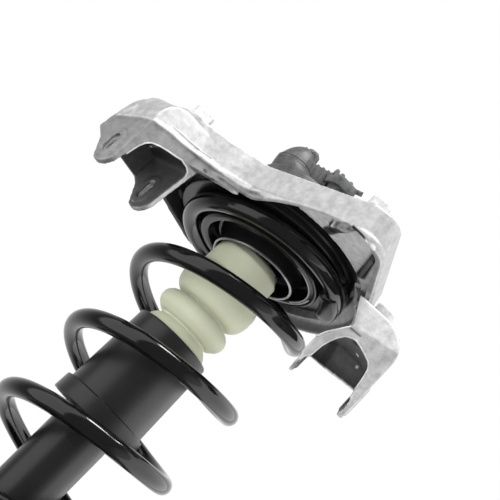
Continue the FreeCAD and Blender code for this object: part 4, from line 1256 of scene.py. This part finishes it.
@dataclass(frozen=True)
class BumpStop:
    """Ribbed foam bump stop on the rod, in millimetres."""

    top: float = 433.0
    edge: float = 427.3
    collar: float = 349.5
    ceiling: float = 345.5
    end: float = 338.0
    bore: float = 7.0
    lobes: tuple[tuple[Place, Place], ...] = (
        ((31.0, -23.5), (31.9, -31.0)), ((31.6, -36.5), (30.0, -41.6)), ((26.6, -45.6), (21.6, -47.8)),
        ((21.0, -48.8), (22.0, -50.0)), ((30.4, -58.2), (26.4, -65.4)), ((24.5, -67.0), (21.8, -68.2)),
        ((21.2, -69.2), (21.8, -70.2)), ((25.0, -73.2), (27.4, -77.8)))

    @staticmethod
    def arc(start: Place, middle: Place, end: Place, steps: int = 14) -> Profile:
        """Points of the arc through three spots, without its first.

        Args:
            start: Where it starts.
            middle: A spot that it runs through.
            end: Where it ends.
            steps: Number of its points.

        Returns:
            The points.
        """
        (ax, ay), (bx, by), (cx, cy) = start, middle, end
        det = 2 * (ax * (by - cy) + bx * (cy - ay) + cx * (ay - by))
        aa, bb, cc = ax * ax + ay * ay, bx * bx + by * by, cx * cx + cy * cy
        ox = (aa * (by - cy) + bb * (cy - ay) + cc * (ay - by)) / det
        oy = (aa * (cx - bx) + bb * (ax - cx) + cc * (bx - ax)) / det
        radius = math.hypot(ax - ox, ay - oy)
        first = math.atan2(ay - oy, ax - ox)
        mid, last = ((math.atan2(y - oy, x - ox) - first) % (2 * math.pi) for x, y in (middle, end))
        if mid > last:
            last -= 2 * math.pi
        turns = [first + last * step / steps for step in range(1, steps + 1)]
        return [(ox + radius * math.cos(turn), oy + radius * math.sin(turn)) for turn in turns]

    def profile(self) -> Profile:
        """Outline of the stop.

        Returns:
            Its closed outline as radius and height.
        """
        edge = self.edge
        spots = [(self.bore, self.top), (23.0, self.top)]
        spots += self.arc(spots[-1], (26.0, edge + 1.6), (27.0, edge), 6)
        spots.append((27.4, edge - 18.0))
        for middle, end in self.lobes:
            spots += self.arc(spots[-1], (middle[0], edge + middle[1]), (end[0], edge + end[1]))
        return spots + [(22.0, self.collar), (22.0, self.ceiling), (25.0, self.ceiling), (24.0, self.end + 2),
                        (20.0, self.end), (self.bore, self.end)]

    def build(self, book: FinishBook) -> Pieces:
        """Turn the stop.

        Args:
            book: The finishes.

        Returns:
            The stop.
        """
        piece = lathe("foam_bump_stop", supported(self.profile(), 0.5), UPRIGHT, 128)
        book.fit(piece, Slot.FOAM, "bump_stop")
        return [piece]


@dataclass(frozen=True)
class TopSeat:
    """Pressed cup, spring pad and dust sleeve under the bracket, in millimetres over the cup's rim."""

    centre: Place = (3.2, -6.3)
    cup_radius: float = 34.2
    cup_low: float = -5.0
    cup_steel: float = 1.8
    stop_room: float = 28.3
    easing: float = 1.05
    seat: float = 12.0
    pad_outer: float = 73.0
    pad_inner: float = 44.0
    pad_low: float = 15.0
    plate_low: float = 20.0
    lip: float = 52.4
    lip_inner: float = 44.4
    lip_low: float = 1.5
    wire_inner: float = 55.8
    wire_shift: float = 4.4
    block: Place = (55.6, 70.4)
    block_round: float = 5.5
    block_flare: Place = (0.3, 0.6)
    block_rings: Profile = (
        (-34.0, 0.0), (-33.0, 0.8), (-30.0, 1.2), (-20.0, 1.4), (-8.0, 1.4), (-2.0, 1.2), (1.0, 0.6), (2.2, -1.2))
    sleeve_top: float = 349.0
    sleeve_rim: float = 266.0
    sleeve_step: float = 280.0

    def pushed(self, way: Vector) -> float:
        """How far the cup is eased outward on one side, where the bump stop leans on it."""
        rim = Vector((*self.centre, 0.0)) + way * (self.cup_radius - self.cup_steel)
        return max(0.0, self.stop_room - rim.length) * self.easing

    def cup(self) -> bpy.types.Object:
        """Pressed cup with a rolled rim.

        Returns:
            The cup.
        """
        wide, inner = self.cup_radius, self.cup_radius - self.cup_steel
        floor = self.seat - self.cup_steel
        spots = [(24.0, self.seat), (24.0, floor), (inner, floor - 4.0), (inner, self.cup_low), (wide, self.cup_low),
                 (wide, floor - 5.0), (wide + 4.5, self.seat)]
        outline = supported(rounded(spots, [0, 0, 4, 0.85, 0.85, 6, 0.3]))
        piece = lathe("pressed_cup", outline, MOUNT.lay(*self.centre))

        def ease(spot: Vector) -> Vector:
            """Move a point of the cup's wall outward.

            Args:
                spot: The point.

            Returns:
                Its new place.
            """
            across = Vector((spot.x - self.centre[0], spot.y - self.centre[1], 0.0))
            way = across.normalized()
            return spot if across.length < inner - 0.5 else spot + way * self.pushed(way)

        reshape(piece, ease)
        return piece

    def pad(self) -> bpy.types.Object:
        """Spring pad as a rubber ring, with a turned-down lip that the wire squeezes on one side.

        Returns:
            The pad.
        """
        face = [(self.pad_inner, self.plate_low), (self.pad_inner, self.pad_low), (self.pad_outer, self.pad_low),
                (self.pad_outer, self.plate_low)]
        lip = [(self.lip_inner, self.plate_low), (self.lip_inner, self.lip_low), (self.lip - 1.0, self.lip_low),
               (self.lip, self.pad_low), (self.lip, self.plate_low)]
        piece = lathe("upper_pad_rubber", supported(rounded(face, [0, 0.5, 1.5, 0])), MOUNT.lay())
        edge = lathe("pad_lip", supported(rounded(lip, [0, 1.6, 2.4, 0, 0])), MOUNT.lay(*self.centre))

        def squeeze(spot: Vector) -> Vector:
            """Move a point of the lip inside the wire."""
            away = Vector((spot.x - self.wire_shift, spot.y, 0.0))
            return spot - away.normalized() * max(0.0, away.length - self.wire_inner)

        reshape(edge, squeeze)
        join(piece, [edge, self.stop_block()])
        return piece

    def stop_block(self) -> bpy.types.Object:
        """Moulded end of the spring pad that the wire's tip lies in.

        Returns:
            The block.
        """
        lay = MOUNT.lay(self.wire_shift)
        rings = []
        for heading, grow in self.block_rings:
            (x, y), = arc_spots(1.0, heading, heading, 1)[:1]
            inner, outer = self.block[0] - grow * self.block_flare[0], self.block[1] + grow * self.block_flare[1]
            corners = [(inner, self.plate_low), (inner, -grow), (outer, -grow), (outer, self.plate_low)]
            profile = rounded(corners, [0, self.block_round, self.block_round, 0])
            rings.append([lay @ Vector((reach * x, reach * y, height)) for reach, height in profile])
        return skin("pad_stop", rings)

    def highlight_beads(self) -> bpy.types.Object:
        """Bright steel beads as painted highlights: a ring round the cup's rim and two short stretches on the edges of
        the seat beside it.

        Returns:
            The beads as one piece.
        """
        edges = []
        for turn, reach, height, radius in ((range(0, 361, 4), self.cup_radius - 0.8, self.cup_low, 0.95),
                                            (range(-58, 31, 4), self.lip_inner + 0.7, self.lip_low + 0.4, 0.6),
                                            (range(-4, 65, 4), self.lip_inner + 2.6, self.lip_low + 0.6, 0.9)):
            line = []
            for heading in turn:
                way = Vector((math.cos(math.radians(heading)), math.sin(math.radians(heading)), 0.0))
                line.append(MOUNT.lay() @ (Vector((*self.centre, height)) + way * (reach + self.pushed(way))))
            edges.append(bead("rim_highlights", line, radius))
        join(edges[0], edges[1:])
        return edges[0]

    def sleeve(self) -> bpy.types.Object:
        """Dust sleeve with its stepped lower rim.

        Returns:
            The sleeve.
        """
        high, step, rim = self.sleeve_top, self.sleeve_step, self.sleeve_rim
        spots = [(22.1, high - 3), (29.9, high - 3), (31.8, step), (35.0, step - 2), (35.6, rim), (37.4, rim),
                 (36.8, step - 0.8), (33.7, step), (31.8, high), (22.1, high)]
        radii = [0, 0.5, 0, 0, 0.6, 0.6, 0.8, 0.3, 1.6, 0]
        return lathe("dust_sleeve", supported(rounded(spots, radii)), UPRIGHT)

    def build(self, book: FinishBook) -> Pieces:
        """Make the cup, the pad, the sleeve and the bright beads of painted highlight.

        Args:
            book: The finishes.

        Returns:
            The pieces.
        """
        return [book.fit(self.cup(), Slot.GLOSS, "bump_cup"), book.fit(self.pad(), Slot.GLOSS, "upper_spring_pad"),
                book.fit(self.sleeve(), Slot.DUST, "dust_tube"), book.fit(self.highlight_beads(), Slot.STEEL, "")]


class Section(NamedTuple):
    """Round level section of a swelling: its height, centre and radius."""

    height: float
    x: float
    y: float
    radius: float


class Bar(NamedTuple):
    """Bar of the wire clip: its name, its top centre along its length, its width and its depth."""

    name: str
    spots: tuple[Spot, ...]
    wide: float
    high: float


@dataclass(frozen=True)
class TopCover:
    """Cover over the rod's nut with its valve dome, plug and wire clip, in millimetres over the cup's rim."""

    bulge: tuple[Section, ...] = tuple(Section(*row) for row in (
        (55.0, 0.0, 0.0, 36.0), (55.8, 0.0, 0.0, 36.8), (57.0, 0.0, 0.0, 37.0), (67.6, 0.0, 0.0, 37.0),
        (69.2, 0.0, 0.0, 36.4), (70.2, -0.6, -0.6, 34.6), (70.8, -2.6, -2.2, 31.0), (71.7, -6.2, -4.2, 26.8),
        (73.2, -10.4, -6.4, 22.8), (75.2, -14.0, -8.4, 19.4), (77.6, -16.6, -9.6, 17.0), (79.6, -17.7, -10.2, 15.6)))
    dome: tuple[Section, ...] = tuple(Section(*row) for row in (
        (77.8, -17.6, -10.2, 15.9), (79.4, -18.2, -10.4, 15.4), (81.6, -18.3, -10.7, 14.7), (84.2, -18.0, -10.9, 14.1),
        (86.8, -17.7, -11.1, 13.3), (89.2, -17.4, -11.3, 12.4), (91.6, -17.1, -11.5, 11.2), (93.6, -16.8, -11.7, 9.9),
        (95.4, -16.5, -11.9, 8.3), (96.9, -16.3, -12.0, 6.5), (98.0, -16.1, -12.0, 4.4), (98.6, -16.0, -12.0, 2.2)))
    moulded_lines: tuple[Section, ...] = (Section(62.0, 0.0, 0.0, 37.0), Section(81.6, -18.3, -10.7, 14.7))
    plug_spot: Place = (-12.3, -14.6)
    plug_steps: Profile = ((82.0, 6.2), (97.0, 6.2), (98.4, 5.6), (99.0, 4.4))
    mark_spot: Place = (-19.2, 94.2)
    collar_spot: Place = (-13.8, -12.6)
    collar_levels: Place = (88.0, 97.2)
    collar_teeth: int = 12
    tooth: Profile = ((0.0, 6.3), (0.28, 8.1), (0.55, 8.1), (0.8, 6.3))
    clip_bars: tuple[Bar, ...] = (
        Bar("wire_clip", ((-12.0, -15.5, 86.5), (-6.0, -16.8, 89.6), (-1.0, -17.6, 90.2), (4.0, -18.6, 90.4),
                          (9.0, -20.0, 90.4)), 7.0, 14.0),
        Bar("clip_body", ((6.5, -21.0, 88.6), (9.5, -21.6, 90.6), (13.0, -22.0, 92.2), (17.5, -22.3, 92.6),
                          (22.0, -22.6, 91.6), (27.0, -23.0, 90.6), (31.0, -23.2, 89.6)), 10.0, 9.0),
        Bar("clip_foot", ((10.0, -20.0, 84.5), (19.0, -20.5, 85.0), (28.0, -21.0, 83.5)), 9.0, 14.5),
        Bar("clip_hook", ((28.5, -24.5, 90.4), (32.0, -25.6, 91.0), (35.4, -26.5, 91.4)), 4.0, 3.0),
        *(Bar("arm_band", ((x, -17.6 - 0.24 * x, top), (x + 1.5, -18.0 - 0.24 * x, top)), 8.2, 14.5)
          for x, top in ((-4.0, 90.8), (0.4, 91.0), (4.8, 91.1))))
    clip_teeth: tuple[Spot, ...] = ((10.0, 88.0, 94.6), (15.0, 89.0, 94.3), (23.6, 88.0, 93.0))
    teeth_row: float = -22.2
    tooth_depth: float = 4.4
    tooth_widths: tuple[float, ...] = (2.6, 2.3, 1.6, 1.0)

    @staticmethod
    def swell(name: str, rows: Sequence[Section], sides: int = 72) -> bpy.types.Object:
        """Make a smooth solid through round sections.

        Args:
            name: Name of the new object.
            rows: The sections, from below.
            sides: Points of each.

        Returns:
            The solid.
        """
        lay = MOUNT.lay()
        turns = [2 * math.pi * k / sides for k in range(sides)]
        return skin(name, [[lay @ Vector((row.x + row.radius * math.cos(turn), row.y + row.radius * math.sin(turn),
                                          row.height)) for turn in turns] for row in rows])

    @staticmethod
    def bar(name: str, spots: Sequence[Spot], wide: float, high: float) -> bpy.types.Object:
        """Rounded bar through points.

        Args:
            name: Name of the new object.
            spots: The bar's top centre at each point.
            wide: Its width.
            high: Its depth.

        Returns:
            The bar.
        """
        line = [Vector(spot) for spot in spots]
        corners = rounded([(-wide / 2, -high), (wide / 2, -high), (wide / 2, 0.0), (-wide / 2, 0.0)], [0.8] * 4, 3)
        rings = []
        for index, spot in enumerate(line):
            side = UPWARD.cross(run_at(line, index)).normalized()
            rings.append([MOUNT.lay() @ (spot + side * a + UPWARD * b) for a, b in corners])
        return skin(name, rings)

    def lines(self) -> Pieces:
        """Fine moulded lines round the cover and the dome's foot.

        Returns:
            The lines.
        """
        made = []
        for row in self.moulded_lines:
            ring = [(row.x + a, row.y + b, row.height) for a, b in arc_spots(row.radius, 0.0, 360.0, 72)]
            made.append(bead("cover_line", [MOUNT.lay() @ Vector(spot) for spot in ring], 0.5))
        return made

    def collar(self) -> bpy.types.Object:
        """Toothed collar round the plug's foot.

        Returns:
            The collar.
        """
        x, y = self.collar_spot
        outline = []
        for tooth in range(self.collar_teeth):
            for step, reach in self.tooth:
                turn = 2 * math.pi * (tooth + step) / self.collar_teeth
                outline.append((x + reach * math.cos(turn), y + reach * math.sin(turn)))
        return prism("plug_collar", outline, *self.collar_levels, MOUNT.lay())

    def plug(self) -> bpy.types.Object:
        """Six-sided plug with a chamfered top, a toothed collar and a round mark on its side.

        Returns:
            The plug.
        """
        lay = MOUNT.lay(*self.plug_spot)
        rings = []
        for height, reach in self.plug_steps:
            spots = rounded(arc_spots(reach, 0.0, 360.0, 6)[:-1], [0.9] * 6, 4)
            rings.append([lay @ Vector((a, b, height)) for a, b in spots])
        piece = skin("hex_plug", rings)
        side = MOUNT.lay() @ Matrix.Translation((self.plug_spot[0], *self.mark_spot))
        side = side @ Matrix.Rotation(math.pi / 2, 4, "X")
        mark = rounded([(1.5, -1.0), (2.9, -1.0), (2.9, 1.5), (1.5, 1.5)], [0, 0, 0.4, 0.4])
        dot = rounded([(0.0, -1.0), (0.8, -1.0), (0.8, 1.4), (0.0, 1.4)], [0, 0, 0.3, 0])
        join(piece, [self.collar(), lathe("plug_mark", mark, side, 32), lathe("plug_dot", dot, side, 24)])
        return piece

    def clip(self) -> bpy.types.Object:
        """Wire clip: banded arm from the dome, comb of coarse teeth and an end hook.

        Returns:
            The clip.
        """
        arm, *extra = [self.bar(*bar) for bar in self.clip_bars]
        deep = self.tooth_depth
        for x, foot, top in self.clip_teeth:
            rings = []
            for height, half in zip((foot, foot + 3.0, top - 0.8, top), self.tooth_widths):
                spots = rounded([(-half, -deep), (half, -deep), (half, deep), (-half, deep)], [0.5] * 4, 3)
                rings.append([MOUNT.lay() @ Vector((x + a, self.teeth_row + b, height)) for a, b in spots])
            extra.append(skin("clip_tooth", rings))
        join(arm, extra)
        return arm

    def build(self, book: FinishBook) -> Pieces:
        """Make the cover, its dome, the plug and the clip.

        Args:
            book: The finishes.

        Returns:
            The four pieces.
        """
        cap = self.swell("rod_cover", self.bulge)
        join(cap, self.lines())
        made = ((cap, "top_cover"), (self.swell("valve_dome", self.dome), "cover_dome"), (self.plug(), "cover_plug"),
                (self.clip(), "harness_clip"))
        return [book.fit(piece, Slot.COVER, node) for piece, node in made]


@dataclass(frozen=True)
class RubberParts:
    """Smooth bushes, ring and seal of black rubber, in millimetres."""

    bush_inner: float = 11.0
    bush_outer: float = 28.48
    bush_low: float = 17.0
    bush_top: float = 48.0
    bush_bore: float = 12.5
    sleeve_reach: float = 30.0
    eye_edge: Profile = (
        (9.6, 19.6), (10.6, 20.0), (11.6, 19.0), (13.0, 18.0), (14.4, 19.0), (15.4, 20.0), (16.4, 19.4), (16.48, 18.0))
    pad_ring: Profile = ((50.0, 133.0), (73.2, 133.0), (73.2, 137.0), (50.0, 137.0))
    pad_shift: float = 2.2
    seal_ring: Profile = ((6.55, 279.0), (20.78, 279.0), (20.78, 285.0), (6.55, 285.0))

    def mount_bush(self) -> bpy.types.Object:
        """Rubber of the tilted top mount, whose bore stands upright round the inner sleeve.

        Returns:
            The rubber.
        """
        inner, outer, low, top = self.bush_inner, self.bush_outer, self.bush_low, self.bush_top
        spots = [(inner, low), (14.0, low), (outer - 6.0, low + 4), (outer, low), (outer, top), (outer - 6.0, top - 4),
                 (14.0, top), (inner, top)]
        outline = supported(rounded(spots, [0.3, 1.5, 2.5, 0.4, 0.4, 2.5, 1.5, 0.3]))
        piece = lathe("mount_rubber", outline, MOUNT.lay())
        rise = MOUNT.lay().inverted() @ Vector((0.0, 0.0, MOUNT.height + self.sleeve_reach))

        def straighten(spot: Vector) -> Vector:
            """Move a point of the bore beside the upright sleeve."""
            share = spot.z / rise.z if math.hypot(spot.x, spot.y) < self.bush_bore else 0.0
            return spot + Vector((rise.x, rise.y, 0.0)) * share

        reshape(piece, straighten)
        return piece

    def build(self, book: FinishBook) -> Pieces:
        """Turn the top mount's rubber and, on the strut, the eye's bush, the lower pad and the rod seal.

        Args:
            book: The finishes.

        Returns:
            The four pieces.
        """
        across = Matrix.Rotation(math.radians(90), 4, "Y")
        beside = Matrix.Translation((self.pad_shift, 0, 0))
        bush = [(reach, -along) for reach, along in self.eye_edge] + list(reversed(self.eye_edge))
        pad = supported(rounded(self.pad_ring, [0.3, 0.6, 1.6, 1.4]))
        seal = rounded(self.seal_ring, [0.5] * 4)
        return [book.fit(piece, Slot.RUBBER, node, body) for piece, node, body in (
            (self.mount_bush(), "mount_bush_rubber", Body.UPPER),
            (lathe("eye_bush_rubber", bush, across, 96), "eye_rubber", Body.STRUT),
            (lathe("lower_pad_rubber", pad, beside), "lower_spring_pad", Body.STRUT),
            (lathe("rod_seal_rubber", seal, UPRIGHT, 72), "rod_seal", Body.STRUT))]


# Studio

@dataclass(frozen=True)
class Softbox:
    """A studio lamp, sized in metres, placed by the direction it stands in from its target."""

    name: str
    direction: Spot
    distance: float
    width: float
    height: float
    radiance: float
    seen: Seen = Seen.EVERYTHING
    target: Spot = (0.0, 0.0, 0.36)

    def build(self) -> None:
        """Make the lamp."""
        light = bpy.data.lights.new(self.name, "AREA")
        light.shape = "RECTANGLE"
        light.size, light.size_y = self.width, self.height
        light.energy = self.radiance * math.pi * self.width * self.height
        lamp = linked(self.name, light)
        way = Vector(self.direction).normalized()
        turn = way.to_track_quat("Z", "Y").to_matrix().to_4x4()
        lamp.matrix_world = Matrix.Translation(Vector(self.target) + way * self.distance) @ turn
        lamp.visible_camera = False
        lamp.visible_diffuse = self.seen is not Seen.GLOSS_ONLY
        lamp.visible_glossy = self.seen is not Seen.SOFT_ONLY


@dataclass(frozen=True)
class Studio:
    """Camera, lamps, white surround and pale floor. The eye is in millimetres, the rest in metres."""

    focal_pixels: float = 1165.0
    frame_pixels: float = 500.0
    eye: Spot = (-7.4, -844.9, 228.3)
    right: Spot = (0.7043, -0.1705, 0.6891)
    up: Spot = (-0.7099, -0.1692, 0.6837)
    clip: Place = (0.01, 20.0)
    floor_height: float = -0.026
    floor_radius: float = 1.5
    floor_tones: Place = (0.86, 0.9)
    floor_glow: float = 0.35
    ambient: float = 0.42
    boxes: tuple[Softbox, ...] = (
        Softbox("left_panel", (-0.875, -0.485, 0.05), 0.95, 1.05, 3.2, 1.25),
        Softbox("right_panel", (0.99, 0.10, 0.05), 1.0, 1.8, 3.2, 1.0),
        Softbox("top_strip", (0.0, -0.25, 0.96), 1.2, 0.7, 0.15, 18.0),
        Softbox("streak", (0.0, -0.25, 0.96), 1.15, 0.7, 0.36, 14.0, seen=Seen.GLOSS_ONLY),
        Softbox("front_fill", (-0.15, -1.0, -0.1), 1.2, 1.0, 1.0, 1.8, seen=Seen.SOFT_ONLY))

    def camera(self) -> None:
        """Camera where the photograph was taken from."""
        data = bpy.data.cameras.new("studio_camera")
        data.sensor_width = 36.0
        data.lens = self.focal_pixels * data.sensor_width / self.frame_pixels
        data.clip_start, data.clip_end = self.clip
        camera = linked("studio_camera", data)
        right = Vector(self.right).normalized()
        up = (Vector(self.up) - right * right.dot(Vector(self.up))).normalized()
        turn = Matrix((right, up, right.cross(up))).transposed().to_4x4()
        camera.matrix_world = Matrix.Translation(Vector(self.eye) * MM) @ turn
        bpy.context.scene.camera = camera

    def surround(self) -> None:
        """White surround for the camera, a graded one for glossy rays, and a plain level of light for the rest."""
        world = bpy.data.worlds.new("studio_surround")
        bpy.context.scene.world = world
        world.use_nodes = True
        sheet = Sheet(world.node_tree)
        path = sheet.add("LightPath").outputs
        way = sheet.add("SeparateXYZ", {"Vector": sheet.add("TexCoord").outputs["Generated"]}).outputs
        ahead = sheet.spread(way["Y"], (0.1, 0.9), (0.2, 1.0), interpolation_type="SMOOTHSTEP")
        beside = sheet.spread(way["X"], (0.3, 0.9), interpolation_type="SMOOTHSTEP")
        white, plain, graded = (sheet.add("Background", {"Color": color}).outputs["Background"] for color in (
            WHITE, (self.ambient, self.ambient, self.ambient, 1.0), sheet.math("MAXIMUM", ahead, beside)))
        lit = sheet.add("MixShader", {"Fac": path["Is Glossy Ray"], 1: plain, 2: graded}).outputs["Shader"]
        seen = sheet.math("MAXIMUM", path["Is Camera Ray"], path["Is Transmission Ray"])
        shown = sheet.add("MixShader", {"Fac": seen, 1: lit, 2: white}).outputs["Shader"]
        sheet.add("OutputWorld", {"Surface": shown})

    def floor(self) -> None:
        """Pale floor under the strut, which keeps its shadow."""
        work = bmesh.new()
        bmesh.ops.create_circle(work, cap_ends=True, segments=96, radius=self.floor_radius)
        mesh = bpy.data.meshes.new("studio_floor")
        work.to_mesh(mesh)
        work.free()
        piece = linked("studio_floor", mesh)
        piece.location = (0, 0, self.floor_height)
        material = bpy.data.materials.new("studio_floor_paint")
        material.use_nodes = True
        sheet = Sheet(material.node_tree)
        tone = sheet.spread(sheet.noise(6.0, 2.0), (0.0, 1.0), self.floor_tones)
        shader = sheet.add("BsdfPrincipled", {"Base Color": tone, "Roughness": 0.9, "Emission Color": WHITE,
                                              "Emission Strength": self.floor_glow})
        sheet.add("OutputMaterial", {"Surface": shader.outputs["BSDF"]})
        mesh.materials.append(material)
        piece.visible_glossy = False
        piece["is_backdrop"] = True

    def build(self) -> None:
        """Set up the whole studio."""
        bpy.context.scene.view_settings.view_transform = "Standard"
        self.camera()
        self.surround()
        self.floor()
        for box in self.boxes:
            box.build()


def corners() -> list[list[float]]:
    """Lowest and highest corner of what is shown, as plain lists."""
    low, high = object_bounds()
    return [list(low), list(high)]


def main() -> None:
    """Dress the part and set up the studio."""
    logging.basicConfig(level=logging.INFO, format="%(message)s")
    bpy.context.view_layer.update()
    book = FinishBook(ShaderKit())
    book.dress_frame()
    Studio().build()
    for maker in (CastBracket(), CoilSpring(), BumpStop(), TopSeat(), TopCover(), RubberParts()):
        for piece in maker.build(book):
            LOG.info("piece %s: %d points", piece.name, len(piece.data.vertices))
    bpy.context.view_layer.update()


if __name__ == "__main__":
    main()
